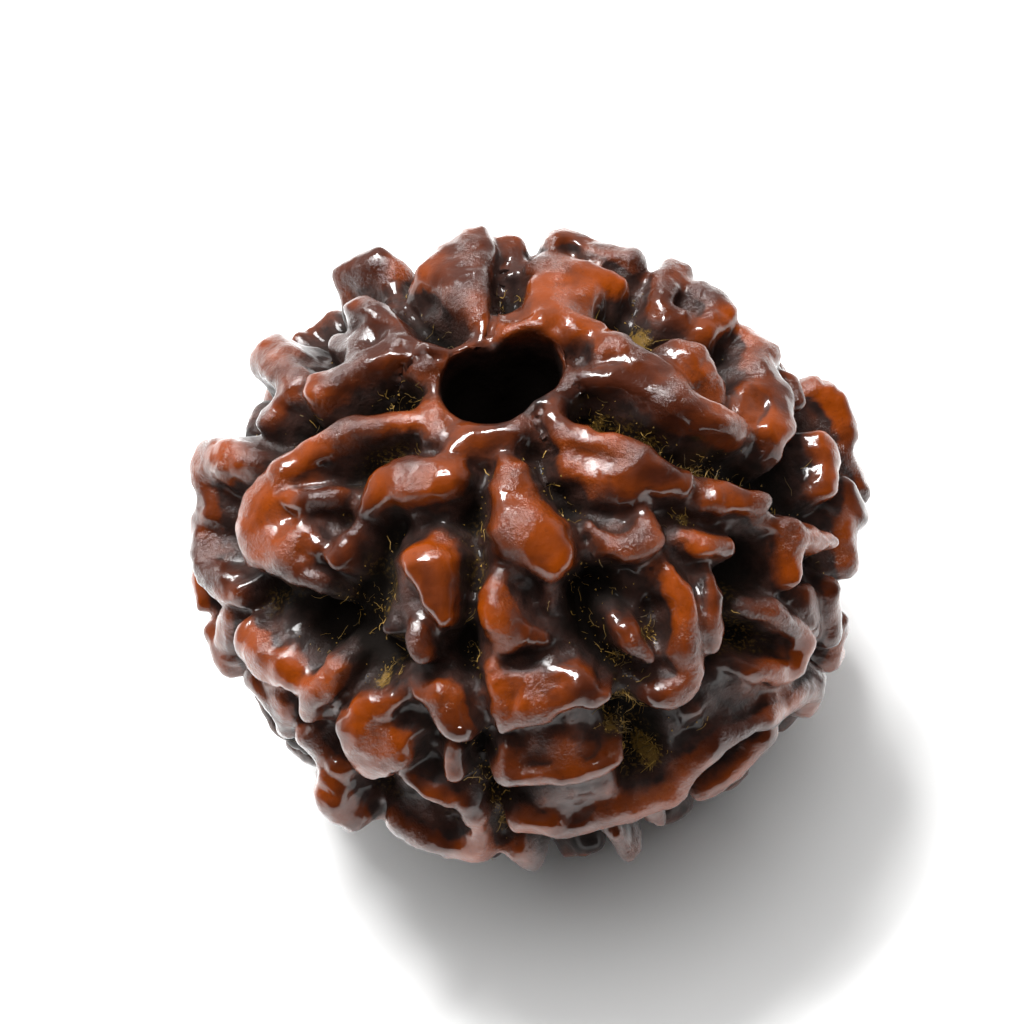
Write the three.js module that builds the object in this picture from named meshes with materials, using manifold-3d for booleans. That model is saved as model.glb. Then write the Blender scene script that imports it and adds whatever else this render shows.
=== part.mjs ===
// An eight mukhi rudraksha bead: the stony seed of the rudraksha fruit, cleaned, oiled and
// threaded through its natural core. It grew as one piece, so it is one solid.
// Millimetres. +Z is up along the thread hole, and -Y is the front. The bead stands upright on
// small flats worn on its lowest knobs, and the origin is the middle of its foot, at z = 0.

import * as THREE from "three";
import { mergeVertices } from "three/addons/utils/BufferGeometryUtils.js";
import Module from "manifold-3d";

// The floor is the surface between the knobs: a rounded, slightly flattened ball.
const FLOOR_RADIUS = 9.6;
const FLOOR_HALF_HEIGHT = 8.3;
const FLOOR_SQUARENESS = 2.3;

// A low collar stands on the floor round each mouth of the thread hole.
const COLLAR_HEIGHT = 1.7;
const COLLAR_FULL_RADIUS = 1.8;
const COLLAR_FADE_RADIUS = 3.2;

// The plane that the foot is cut to, below the middle of the ball.
const FOOT_DEPTH = 9.7;

// The thread hole runs along Z and opens out into a funnel at each end.
const HOLE_RADIUS = 1.2;
const HOLE_MOUTH_RADIUS = 1.5;
const FUNNEL_START = 5.2;
const FUNNEL_END = 8.4;

// The eight mukhi: grooves that run from pole to pole. Each has its longitude in degrees close to
// the upper mouth, at the equator and close to the lower mouth.
const GROOVES = [
  [-146, -167, -160],
  [-85, -110, -106],
  [-66, -51, -53],
  [-13, -15, -14],
  [16, 14, 17],
  [57, 69, 64],
  [108, 128, 121],
  [180, 160, 165],
];
const GROOVE_DEPTH = 0.9;
const GROOVE_HALF_WIDTH = 0.5;

// Broad low swellings of the floor that carry the knobs: longitude, latitude, reach and height.
const SWELLINGS = [
  [[-4, 68, 1.1, 1.1], [0, 60, 1.5, 1.2], [0, 50, 1.6, 1.0], [-2, 40, 1.7, 1.0], [-1, 31, 1.8, 1.2]],
  [[-1, 21, 1.7, 1.3], [0, 13, 1.7, 1.1], [2, 6, 1.9, 1.5], [4, -2, 1.6, 1.2]],
  [[42, 68, 1.2, 1.2], [37, 60, 1.6, 1.3], [33, 51, 1.7, 1.1], [27, 41, 1.6, 1.0], [24, 31, 1.5, 1.3]],
  [[22, 13, 1.5, 1.2], [31, 15, 1.3, 1.3], [38, 6, 1.4, 1.2], [47, 5, 1.6, 1.3], [54, 14, 1.4, 1.4]],
  [[-45, 67, 1.1, 1.2], [-33, 52, 1.3, 1.0], [-31, 42, 1.2, 0.8]],
  [[-24, 27, 1.2, 0.9], [-33, 20, 1.3, 0.9], [-28, 2, 1.4, 1.1], [-24, -6, 1.4, 1.1]],
  [[-60, 24, 1.4, 1.1], [-52, 24, 1.2, 0.9]],
  [[-86, 60, 1.0, 1.1], [-86, 48, 1.4, 1.2], [-78, 41, 1.6, 1.3], [-68, 43, 1.2, 1.0]],
  [[-116, 58, 1.2, 1.2], [-127, 62, 1.5, 1.3], [-126, 70, 1.2, 1.2]],
  [[150, 62, 1.5, 1.4], [140, 68, 1.4, 1.3], [116, 69, 1.1, 1.2], [94, 66, 1.0, 1.2], [78, 60, 0.9, 1.0]],
];

// Pits in the floor: longitude, latitude, radius and depth.
const PITS = [
  [41, 19.5, 1.0, 1.0],
  [-66, 50, 0.7, 0.5],
];

// How the knobs melt into the floor and into each other. The wall slope is sideways per mm down.
const ROOT_FILLET = 0.55;
const EDGE_ROUNDING = 0.34;
const WALL_SLOPE = 0.26;
const TOP_DOME = 0.2;
const UNEVEN_OUTLINE = 0.005;

// The knobs and ridges that stand on the floor. Each one is a path of points, and each point
// gives longitude and latitude in degrees, then half width and height above the floor in mm.
// Longitude 0 is the front, -Y, and grows towards +X.
const KNOBS = [
  // The collar round the upper mouth.
  [[-88, 76, 0.45, 1.6], [-74, 75, 0.5, 1.8], [-60, 74, 0.5, 1.8]],
  [[-40, 76, 0.4, 1.8], [-22, 77, 0.35, 1.7]],
  [[120, 76, 0.4, 1.8], [142, 76, 0.4, 1.8], [158, 77, 0.35, 1.6]],
  // Between the grooves at -55 and -15.
  [[-59, 57.5, 0.42, 2.0], [-56, 61.5, 0.6, 2.2], [-48, 64.8, 0.75, 2.3], [-38, 67.2, 0.65, 2.2], [-37, 73, 0.4, 1.9]],
  [[-59, 57, 0.3, 1.8], [-58, 54, 0.28, 1.6], [-55.5, 50.5, 0.33, 1.9], [-55, 46, 0.33, 2.1]],
  [[-31, 60, 0.25, 1.1], [-30, 57, 0.32, 1.6]],
  [[-35, 52.5, 0.36, 2.3], [-30, 54, 0.4, 2.3], [-26, 54, 0.36, 2.3]],
  [[-31, 52, 0.55, 2.35], [-26.5, 50, 0.55, 2.4], [-24.3, 46.5, 0.38, 2.4], [-22.7, 44, 0.25, 2.4]],
  [[-38, 50, 0.3, 1.5], [-36.5, 46, 0.35, 1.3], [-32, 42.5, 0.35, 1.3]],
  [[-30, 42, 0.26, 1.7], [-28.5, 39.5, 0.32, 2.1], [-26.5, 37, 0.32, 2.2]],
  [[-37, 41, 0.28, 1.2], [-36.5, 38.5, 0.33, 1.6]],
  [[-45.5, 27, 0.4, 2.0], [-47, 22.5, 0.52, 2.3], [-48, 18, 0.48, 2.3]],
  [[-29.5, 28.5, 0.26, 1.5], [-33, 26, 0.33, 1.9], [-36.5, 22.5, 0.48, 2.3], [-37.5, 18.5, 0.6, 2.4]],
  [[-37.5, 18.5, 0.62, 2.4], [-35.5, 14.8, 0.8, 2.45], [-31.5, 16, 0.6, 2.35]],
  [[-27, 29, 0.3, 2.0], [-23.5, 29.5, 0.38, 2.1], [-20, 29.5, 0.42, 2.1], [-19, 25.5, 0.48, 2.3]],
  [[-23.5, 28, 0.45, 2.05], [-20.5, 26, 0.5, 2.2]],
  [[-20.5, 18, 0.38, 1.7], [-20, 14, 0.38, 1.9]],
  [[-29, 11, 0.22, 1.9], [-25, 9, 0.27, 2.0], [-20.5, 7.5, 0.27, 2.0]],
  [[-18, 6, 0.28, 2.0], [-17.5, -1, 0.33, 2.1], [-18, -7, 0.35, 2.1]],
  [[-31.5, -2, 0.42, 2.2], [-28, -5, 0.55, 2.3], [-23, -7, 0.6, 2.3], [-19, -6.5, 0.48, 2.2]],
  [[-43, 6, 0.42, 1.8], [-42.5, 1, 0.5, 2.3], [-39.5, -3, 0.48, 2.35]],
  [[-46, 0, 0.42, 2.1], [-45.5, -5, 0.48, 2.3], [-42, -9, 0.48, 2.2]],
  [[-37, -6, 0.4, 1.6], [-33, -10, 0.4, 1.6]],
  // Between the grooves at -108 and -55.
  [[-79, 71, 0.36, 1.8], [-83, 64.5, 0.36, 2.1], [-85.5, 59, 0.45, 2.3], [-84.5, 53.5, 0.5, 2.35], [-84, 47.5, 0.52, 2.45]],
  [[-84, 47.5, 0.52, 2.45], [-82.5, 42.5, 0.65, 2.5], [-79.5, 38.5, 0.75, 2.55], [-75, 37, 0.75, 2.5]],
  [[-75, 37, 0.75, 2.5], [-70, 38, 0.7, 2.4], [-65, 39.5, 0.55, 2.3], [-60, 39.5, 0.42, 2.1], [-56, 39.5, 0.33, 1.8]],
  [[-80, 42, 0.6, 2.3], [-74, 40.5, 0.6, 2.3], [-69, 41.5, 0.45, 2.2]],
  [[-78, 45, 0.28, 2.2], [-73, 48.5, 0.36, 2.4], [-68, 53, 0.26, 2.0]],
  [[-68, 44, 0.32, 2.2], [-62, 45, 0.36, 2.1]],
  [[-93, 21.5, 0.45, 2.55], [-88, 20, 0.52, 2.65], [-84, 20, 0.52, 2.5], [-79, 22, 0.46, 2.3], [-74, 25, 0.36, 2.1]],
  [[-98, 26, 0.45, 2.75], [-93, 25.5, 0.42, 2.4]],
  [[-90, 12, 0.48, 2.4], [-85, 10, 0.5, 2.45]],
  [[-75, 18, 0.45, 2.1], [-73.5, 13, 0.48, 2.2]],
  [[-78, 9, 0.45, 2.35], [-72.5, 8, 0.5, 2.35]],
  [[-66, 20, 0.6, 2.35], [-60.5, 20.5, 0.75, 2.35], [-55, 21, 0.6, 2.2], [-51, 20.5, 0.4, 1.9]],
  [[-64, 12, 0.45, 2.1], [-59.5, 11.5, 0.45, 2.1]],
  [[-59, 15, 0.4, 1.8], [-56, 12, 0.38, 2.0], [-56, 6, 0.36, 1.9]],
  [[-50, 10, 0.36, 2.0], [-47, 5, 0.36, 1.9]],
  // Between the grooves at -165 and -108.
  [[-119, 63, 0.5, 2.1], [-125, 66.5, 0.6, 2.15], [-127, 71, 0.55, 2.0], [-118, 75, 0.36, 1.7], [-110, 77, 0.28, 1.4]],
  [[-107.5, 54, 0.46, 2.3], [-110, 57.5, 0.46, 2.2], [-114, 60.5, 0.42, 2.0], [-118, 63, 0.4, 2.0]],
  [[-131, 57, 0.4, 1.9], [-124, 58.5, 0.36, 1.9], [-116, 59, 0.36, 2.0]],
  [[-141, 54, 0.46, 2.5], [-137, 61, 0.46, 2.2], [-132, 66, 0.46, 2.0]],
  [[-131, 50, 0.45, 1.6], [-128, 54, 0.4, 1.6]],
  [[-124, 38.5, 0.55, 2.75], [-119, 43, 0.48, 2.4], [-114, 47, 0.44, 2.0]],
  [[-110, 46, 0.4, 1.9], [-106, 42, 0.44, 2.1]],
  [[-103, 28, 0.6, 3.0], [-101, 33.5, 0.55, 2.8], [-97, 38.5, 0.36, 2.1]],
  [[-149, 38, 0.42, 2.75], [-152, 41, 0.45, 2.75], [-155, 44, 0.45, 2.75]],
  [[-157, 45, 0.42, 2.5], [-153, 50, 0.36, 1.5], [-149, 58, 0.32, 1.0]],
  // Between the grooves at 165 and -165.
  [[-176, 77, 0.32, 1.6], [-171, 68, 0.48, 2.1], [-167, 61, 0.5, 2.35], [-164, 57, 0.42, 2.5]],
  [[-176, 77, 0.32, 1.6], [-177, 67, 0.48, 2.2], [-178, 59, 0.62, 2.6], [-179, 53, 0.55, 2.85]],
  [[-171, 63, 0.6, 2.3], [-171, 56, 0.75, 2.7]],
  [[-159, 56, 0.26, 1.7], [-158, 60, 0.26, 1.2]],
  [[171, 52, 0.5, 2.35], [170, 58, 0.42, 1.8]],
  // Between the grooves at 122 and 165.
  [[158, 57, 0.48, 2.2], [149, 58, 0.52, 2.35], [140, 57, 0.52, 2.35], [133, 56, 0.36, 2.2]],
  [[152, 60, 0.7, 2.2], [148, 67, 0.75, 2.15], [140, 73, 0.6, 1.9]],
  [[141, 60, 0.6, 2.1], [138, 66, 0.6, 2.0]],
  [[160, 72, 0.5, 1.8], [148, 71, 0.55, 2.1], [130, 71, 0.46, 2.15], [115, 69, 0.46, 2.15], [103, 68, 0.5, 2.2]],
  [[157, 50, 0.5, 2.6], [150, 50, 0.46, 2.5], [143, 50.5, 0.42, 2.4], [136, 49, 0.42, 2.6]],
  // Between the grooves at 67 and 122.
  [[103, 68, 0.48, 2.2], [95, 66, 0.5, 2.2], [90, 62.5, 0.46, 2.2], [85, 59, 0.42, 2.2]],
  [[76, 79, 0.32, 1.5], [84, 74, 0.32, 1.9], [84, 69, 0.38, 2.15], [81, 63.5, 0.42, 2.3], [77, 58.5, 0.46, 2.4]],
  [[77, 58.5, 0.46, 2.4], [74.5, 53, 0.5, 2.5], [74, 48, 0.46, 2.5], [74, 45, 0.36, 2.3]],
  [[97, 56, 0.46, 2.3], [93, 54, 0.52, 2.4], [88, 51, 0.44, 2.1], [84, 49, 0.36, 1.8]],
  [[127, 43.5, 0.5, 2.5], [124, 48, 0.45, 2.3], [119, 52, 0.36, 2.0]],
  [[114, 53, 0.26, 1.6], [113, 50, 0.28, 2.0]],
  [[118, 43, 0.45, 2.45], [112, 42, 0.5, 2.55], [108, 46, 0.42, 2.1]],
  [[105, 37.5, 0.5, 2.2], [100, 35.5, 0.5, 2.45]],
  [[96, 39, 0.42, 2.3], [89, 37.5, 0.62, 2.4], [82, 37, 0.65, 2.45], [77, 38.5, 0.52, 2.35]],
  [[88, 42, 0.55, 2.1], [82, 43, 0.45, 1.9]],
  [[95, 31, 0.32, 2.2], [91, 30.5, 0.28, 2.2]],
  [[99, 22.5, 0.48, 2.45], [96, 19, 0.58, 2.9], [92, 16.5, 0.5, 2.8]],
  [[84, 25.5, 0.42, 2.3], [80.5, 23, 0.48, 2.35], [76, 23, 0.42, 2.2]],
  [[88, 14, 0.46, 2.5], [84, 10, 0.48, 2.6]],
  [[80, 15.5, 0.42, 2.4], [76.5, 12, 0.48, 2.6]],
  [[73, 14, 0.4, 2.3], [69, 9.5, 0.46, 2.4]],
  // Between the grooves at 14 and 67.
  [[31, 77, 0.36, 1.6], [37, 72.5, 0.36, 2.0], [43, 69, 0.42, 2.25], [45.5, 65, 0.46, 2.35], [48, 60, 0.46, 2.4]],
  [[48, 60, 0.46, 2.4], [50, 55, 0.4, 2.4], [51.5, 51, 0.3, 2.3]],
  [[30, 68, 0.55, 1.8], [36, 64, 0.65, 2.0], [41, 60, 0.65, 2.15], [46, 56, 0.5, 2.25]],
  [[33, 60, 0.5, 1.7], [39, 56.5, 0.5, 1.9]],
  [[21.5, 55, 0.26, 1.7], [23, 51.5, 0.36, 2.05], [28, 49.5, 0.45, 2.2], [33, 49, 0.45, 2.2], [37, 51, 0.36, 1.9]],
  [[41.5, 45, 0.26, 1.7], [42.5, 42, 0.32, 2.0], [45, 40, 0.3, 2.0], [47.5, 38, 0.28, 2.0]],
  [[52, 47, 0.3, 1.8], [54.5, 44.5, 0.46, 2.25], [57, 41, 0.5, 2.35], [58.5, 37.5, 0.36, 2.4]],
  [[59, 33, 0.32, 2.0], [60.5, 28.5, 0.38, 2.35], [63.5, 23.5, 0.32, 2.4], [65.5, 20, 0.24, 2.5]],
  [[60, 29, 0.32, 2.3], [56.5, 27, 0.32, 2.3], [54.3, 24.5, 0.25, 2.4]],
  [[32, 43, 0.25, 1.7], [31.5, 39.5, 0.32, 2.05], [31, 35.5, 0.36, 2.25], [29, 32, 0.36, 2.25], [26.5, 29, 0.34, 2.25]],
  [[26.5, 29, 0.34, 2.25], [26, 25.5, 0.42, 2.35], [22.5, 23.8, 0.46, 2.35], [18.5, 25, 0.4, 2.25]],
  [[40, 37, 0.22, 1.5], [38, 33.5, 0.3, 1.9], [35, 30, 0.32, 2.05], [32, 26.5, 0.32, 1.95]],
  [[16.5, 39.5, 0.22, 1.3], [17.5, 37.5, 0.32, 2.0], [18.5, 35, 0.26, 2.15], [19.3, 32.5, 0.16, 2.2]],
  [[34, 20, 0.27, 1.5], [37, 16.5, 0.3, 1.95], [41, 12, 0.32, 2.15], [45, 9.5, 0.36, 2.25], [48.5, 12, 0.36, 2.25]],
  [[48.5, 12, 0.36, 2.25], [48.5, 17, 0.36, 2.2], [47.5, 22, 0.32, 2.0], [44, 26.5, 0.28, 1.6]],
  [[60.5, 11, 0.45, 2.2], [58, 5, 0.48, 2.2]],
  [[56, 17, 0.4, 1.8], [54, 10, 0.45, 1.9]],
  [[15.5, 1.5, 0.4, 2.2], [20, 4.5, 0.33, 2.2], [25, 7, 0.32, 2.2], [31, 8, 0.32, 2.2], [37.5, 5.5, 0.36, 2.2]],
  [[37.5, 5.5, 0.36, 2.2], [44, 1.5, 0.42, 2.2], [49, -0.5, 0.45, 2.2]],
  [[52, -1, 0.44, 2.2], [47, -5, 0.44, 2.2]],
  [[37, -2, 0.48, 2.0], [30, -5, 0.48, 2.0], [24, -6, 0.42, 1.9]],
  [[62, 0, 0.44, 2.1], [59.5, -6, 0.44, 2.1]],
  // Between the grooves at -15 and 14.
  [[-6, 76, 0.32, 1.6], [-4, 70, 0.5, 2.05], [-2, 66, 0.6, 2.25], [-1, 62, 0.7, 2.4], [1.5, 58, 0.9, 2.5]],
  [[1.5, 58, 0.9, 2.5], [4.5, 54.5, 0.75, 2.5], [4.8, 51, 0.36, 2.3]],
  [[-6.5, 66, 0.4, 2.2], [-7, 60.5, 0.42, 2.3], [-5, 57, 0.5, 2.35]],
  [[4.5, 50, 0.24, 1.6], [3, 45, 0.24, 1.4]],
  [[-10.5, 53, 0.25, 1.6], [-10.5, 48.5, 0.36, 2.1], [-9, 43.5, 0.5, 2.25], [-9, 40, 0.4, 2.0]],
  [[-8.5, 44, 0.5, 2.15], [-5, 42, 0.45, 2.0], [-1, 40.5, 0.3, 1.75]],
  [[-11.5, 35.5, 0.28, 1.9], [-10.5, 31, 0.4, 2.15], [-8.8, 26.8, 0.45, 2.3], [-4.5, 29, 0.48, 2.3]],
  [[-4.5, 29.5, 0.45, 2.3], [0, 30.5, 0.46, 2.35], [4.5, 30.5, 0.46, 2.35], [8.3, 28.5, 0.4, 2.3]],
  [[-6, 33, 0.42, 2.0], [0, 33.5, 0.42, 2.0], [5, 32.8, 0.4, 2.05]],
  [[-9.5, 15, 0.36, 2.2], [-5, 15, 0.4, 2.3], [0, 15.3, 0.4, 2.3], [4.5, 15.2, 0.4, 2.3], [7.4, 15.7, 0.36, 2.3]],
  [[-10, 20, 0.3, 1.8], [-10, 16, 0.33, 2.1]],
  [[-10, 2, 0.4, 2.1], [-5, 1, 0.42, 2.15], [-1, -0.5, 0.45, 2.15], [4, 1, 0.42, 2.2], [10, 1, 0.42, 2.2]],
  [[10, 1, 0.42, 2.2], [15.5, 1.5, 0.4, 2.2]],
  [[-11.5, -8, 0.42, 2.1], [-9.5, -12, 0.42, 2.1]],
  [[6, -8, 0.28, 1.9], [7.5, -13, 0.28, 2.3]],
  [[13.5, -4, 0.28, 1.9], [14.5, -8, 0.26, 1.9]],
];

// The knobs round the lower mouth. The bead stands on them.
const FEET = [
  [[-160, -75, 0.6, 2.0], [-163, -68, 0.8, 2.3], [-160, -60, 0.6, 2.2]],
  [[-132, -70, 0.9, 2.3], [-125, -64, 0.7, 2.2]],
  [[-84, -76, 0.5, 1.9], [-80, -69, 0.8, 2.3], [-76, -62, 0.7, 2.2]],
  [[-38, -74, 0.6, 2.0], [-35, -67, 0.9, 2.4], [-42, -60, 0.5, 2.1]],
  [[2, -73, 0.6, 2.1], [-1, -66, 0.8, 2.3]],
  [[30, -71, 0.7, 2.2], [40, -66, 0.8, 2.3], [44, -59, 0.6, 2.1]],
  [[88, -75, 0.6, 2.0], [84, -68, 0.8, 2.3], [90, -61, 0.7, 2.2]],
  [[138, -74, 0.6, 2.0], [143, -67, 0.9, 2.4], [137, -60, 0.6, 2.1]],
];

// The rest of the bead, its back and its underside, is grown by rule where no knob stands yet:
// first along both sides of each groove, then in the open places of each sector. The front and
// top round READ_MIDDLE keep to the knobs above.
const READ_MIDDLE = [0, 55];
const READ_EDGE = -0.02;
// The grown ridges near that side are this much lower, so that none looks over its rim.
const RIM_GROWTH = 0.55;
const FULL_GROWTH = 0.4;
const GROOVE_SIDE = 1.45;
const SIDE_SPACING = 2.5;
const SIDE_CLEARANCE = 1.9;
const OPEN_TRIES = 2600;
const OPEN_CLEARANCE = 1.95;
const LOWEST_GROWN = -76;
const HIGHEST_GROWN = 62;
const SEED = 20268;

const BALL_DETAIL = 20;
const SETTLING_PASSES = 24;
const SETTLING_SHARE = 0.6;
const SEARCH_START = 13.6;
const SEARCH_STEP = 0.15;
const HALVINGS = 14;
const HOLE_SIDES = 24;
const CUTTER_REACH = 20;

// Knobs farther off than this, on a ball of radius 1, leave a place as it is.
const NEAR = 0.42;

const radians = THREE.MathUtils.degToRad;
const mix = THREE.MathUtils.lerp;

// A repeatable stream of numbers from 0 to 1.
function randomStream(seed) {
  let state = seed;
  return () => {
    state = (state * 16807) % 2147483647;
    return state / 2147483647;
  };
}

function direction(longitude, latitude) {
  const lon = radians(longitude);
  const lat = radians(latitude);
  return new THREE.Vector3(
    Math.cos(lat) * Math.sin(lon),
    -Math.cos(lat) * Math.cos(lon),
    Math.sin(lat),
  );
}

// Distance of the plain floor from the middle of the ball, in a direction.
function floorRadius(toward) {
  const across = Math.hypot(toward.x, toward.y) / FLOOR_RADIUS;
  const along = Math.abs(toward.z) / FLOOR_HALF_HEIGHT;
  return (across ** FLOOR_SQUARENESS + along ** FLOOR_SQUARENESS) ** (-1 / FLOOR_SQUARENESS);
}

// The longitude of a groove at a latitude, in radians.
function grooveLongitude([upper, middle, lower], latitude) {
  const end = latitude > 0 ? upper : lower;
  return radians(mix(middle, end, (latitude / (Math.PI / 2)) ** 2));
}

// Distance to the middle line of the nearest groove, in mm along the floor.
function nearestGroove(toward) {
  const latitude = Math.asin(THREE.MathUtils.clamp(toward.z, -1, 1));
  const longitude = Math.atan2(toward.x, -toward.y);
  const across = Math.hypot(toward.x, toward.y) * FLOOR_RADIUS;
  const distances = GROOVES.map((groove) => {
    const middle = grooveLongitude(groove, latitude);
    return Math.abs(Math.atan2(Math.sin(longitude - middle), Math.cos(longitude - middle)));
  });
  return Math.min(...distances) * across;
}

// How far a swelling lifts the floor, in a direction.
function swell(path, toward) {
  const along = new THREE.Vector3();
  const reach = new THREE.Vector3();
  let lift = 0;
  for (let i = 0; i + 1 < path.length; i += 1) {
    along.subVectors(path[i + 1].at, path[i].at);
    reach.subVectors(toward, path[i].at);
    const share = THREE.MathUtils.clamp(reach.dot(along) / along.lengthSq(), 0, 1);
    const aside = reach.addScaledVector(along, -share).length() * FLOOR_RADIUS;
    const width = mix(path[i].halfWidth, path[i + 1].halfWidth, share);
    const height = mix(path[i].height, path[i + 1].height, share);
    lift = Math.max(lift, height * Math.exp(-((aside / width) ** 4)));
  }
  return lift;
}

// The floor with its swellings, pits, grooves and collars, in a direction.
function carvedFloorRadius(toward) {
  const plain = floorRadius(toward);
  const fromAxis = Math.hypot(toward.x, toward.y) * plain;
  const aside = nearestGroove(toward) / GROOVE_HALF_WIDTH;
  const cut = GROOVE_DEPTH * Math.exp(-aside * aside) * THREE.MathUtils.smoothstep(fromAxis, 1.6, 3.2);
  const collar = 1 - THREE.MathUtils.smoothstep(fromAxis, COLLAR_FULL_RADIUS, COLLAR_FADE_RADIUS);
  const lift = Math.max(...SWELLING_PATHS.map((path) => swell(path, toward)));
  const nearGroove = Math.exp(-((aside / 1.6) ** 4));
  let pit = 0;
  for (const [longitude, latitude, radius, depth] of PITS) {
    const away = (direction(longitude, latitude).distanceTo(toward) * FLOOR_RADIUS) / radius;
    pit = Math.max(pit, depth * Math.exp(-(away ** 4)));
  }
  return plain + lift * (1 - nearGroove) - cut - pit + COLLAR_HEIGHT * collar;
}

// A gentle sideways shift that makes every outline uneven.
function uneven(toward) {
  const { x, y, z } = toward;
  return new THREE.Vector3(
    x + UNEVEN_OUTLINE * Math.sin(21 * y + 5 * z + 0.7),
    y + UNEVEN_OUTLINE * Math.sin(19 * z + 6 * x + 2.1),
    z + UNEVEN_OUTLINE * Math.sin(23 * x + 4 * y + 4.4),
  ).normalize();
}

function knobFrom(path) {
  return path.map(([longitude, latitude, halfWidth, height]) => ({
    at: direction(longitude, latitude),
    halfWidth,
    height,
  }));
}

const SWELLING_PATHS = SWELLINGS.map(knobFrom);

// Signed distance from one knob: a sloping wall with a domed top along a path.
function knobDistance(knob, toward, radius) {
  const along = new THREE.Vector3();
  const reach = new THREE.Vector3();
  let nearest = Infinity;
  for (let i = 0; i + 1 < knob.length; i += 1) {
    const from = knob[i];
    const to = knob[i + 1];
    along.subVectors(to.at, from.at);
    reach.subVectors(toward, from.at);
    const share = THREE.MathUtils.clamp(reach.dot(along) / along.lengthSq(), 0, 1);
    const centre = along.multiplyScalar(share).add(from.at).normalize();
    const aside = toward.distanceTo(centre) * radius;
    const halfWidth = mix(from.halfWidth, to.halfWidth, share);
    const rounding = Math.min(EDGE_ROUNDING, halfWidth);
    const sag = TOP_DOME * halfWidth * Math.min(aside / halfWidth, 1) ** 2;
    const top = floorRadius(toward) + mix(from.height, to.height, share) - sag;
    const outX = aside - halfWidth - WALL_SLOPE * Math.max(top - radius, 0) + rounding;
    const outY = radius - top + rounding;
    const outside = Math.hypot(Math.max(outX, 0), Math.max(outY, 0));
    nearest = Math.min(nearest, outside + Math.min(Math.max(outX, outY), 0) - rounding);
  }
  return nearest;
}

// The lesser of two distances, with a fillet where they are close.
function blend(a, b, fillet) {
  const overlap = Math.max(fillet - Math.abs(a - b), 0) / fillet;
  return Math.min(a, b) - (overlap * overlap * fillet) / 4;
}

// The knobs that can shape the surface in a direction.
function knobsNear(toward, knobs) {
  return knobs.filter((knob) => knob.some(({ at }) => at.distanceToSquared(toward) < NEAR * NEAR));
}

// Below zero inside the bead. The thread hole isn't part of it yet.
function beadDistance(floor, shifted, radius, knobs) {
  let distance = radius - floor;
  for (const knob of knobs) distance = blend(distance, knobDistance(knob, shifted, radius), ROOT_FILLET);
  return distance;
}

// A place beside another: so many mm towards a heading, which is 0 for north and grows eastwards.
function stepFrom(longitude, latitude, length, heading) {
  const north = THREE.MathUtils.radToDeg((length * Math.cos(heading)) / FLOOR_RADIUS);
  const east = THREE.MathUtils.radToDeg((length * Math.sin(heading)) / FLOOR_RADIUS);
  return [longitude + east / Math.max(Math.cos(radians(latitude)), 0.15), latitude + north];
}

// A bent ridge of three points round a place.
function ridgeAt(longitude, latitude, heading, draw) {
  const bend = heading + Math.PI * mix(0.7, 1.3, draw());
  const size = draw();
  const length = mix(0.5, 1.25, size);
  const [startLongitude, startLatitude] = stepFrom(longitude, latitude, length, heading);
  const [endLongitude, endLatitude] = stepFrom(longitude, latitude, length, bend);
  return [
    [startLongitude, startLatitude, mix(0.35, 0.6, draw()), mix(1.7, 2.4, draw())],
    [longitude, latitude, mix(0.45, 0.75, draw()), mix(2.0, 2.6, draw())],
    [endLongitude, endLatitude, mix(0.35, 0.6, draw()), mix(1.6, 2.4, draw())],
  ];
}

// The knobs read from the front and top of the bead, the feet, and the ones grown by rule.
function allKnobs() {
  const draw = randomStream(SEED);
  const paths = [...KNOBS, ...FEET];
  const taken = paths.flat().map(([longitude, latitude]) => direction(longitude, latitude));
  const readMiddle = direction(...READ_MIDDLE);
  const grow = (longitude, latitude, heading, clearance) => {
    const ridge = ridgeAt(longitude, latitude, heading, draw);
    const places = ridge.map(([lon, lat]) => direction(lon, lat));
    const free = places.every((place, index) => {
      const room = index === 1 ? clearance : 0.75 * clearance;
      return (
        place.dot(readMiddle) < READ_EDGE &&
        nearestGroove(place) > GROOVE_HALF_WIDTH + 0.5 * ridge[index][2] + 0.2 &&
        taken.every((other) => other.distanceTo(place) * FLOOR_RADIUS > room)
      );
    });
    if (!free) return;
    const hidden = THREE.MathUtils.smoothstep(-places[1].dot(readMiddle), 0, FULL_GROWTH);
    for (const point of ridge) point[3] *= mix(RIM_GROWTH, 1, hidden);
    paths.push(ridge);
    taken.push(...places);
  };
  for (const groove of GROOVES) {
    for (const side of [-1, 1]) {
      const step = THREE.MathUtils.radToDeg(SIDE_SPACING / FLOOR_RADIUS);
      for (let latitude = LOWEST_GROWN; latitude < HIGHEST_GROWN; latitude += step) {
        const middle = THREE.MathUtils.radToDeg(grooveLongitude(groove, radians(latitude)));
        const aside = THREE.MathUtils.radToDeg(GROOVE_SIDE / FLOOR_RADIUS);
        const longitude = middle + (side * aside) / Math.max(Math.cos(radians(latitude)), 0.15);
        grow(longitude, latitude, mix(-0.5, 0.5, draw()), SIDE_CLEARANCE);
      }
    }
  }
  for (let i = 0; i < OPEN_TRIES; i += 1) {
    const longitude = 360 * draw() - 180;
    const latitude = THREE.MathUtils.radToDeg(Math.asin(mix(-0.97, 0.85, draw())));
    grow(longitude, latitude, 2 * Math.PI * draw(), OPEN_CLEARANCE);
  }
  return paths.map(knobFrom);
}

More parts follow.
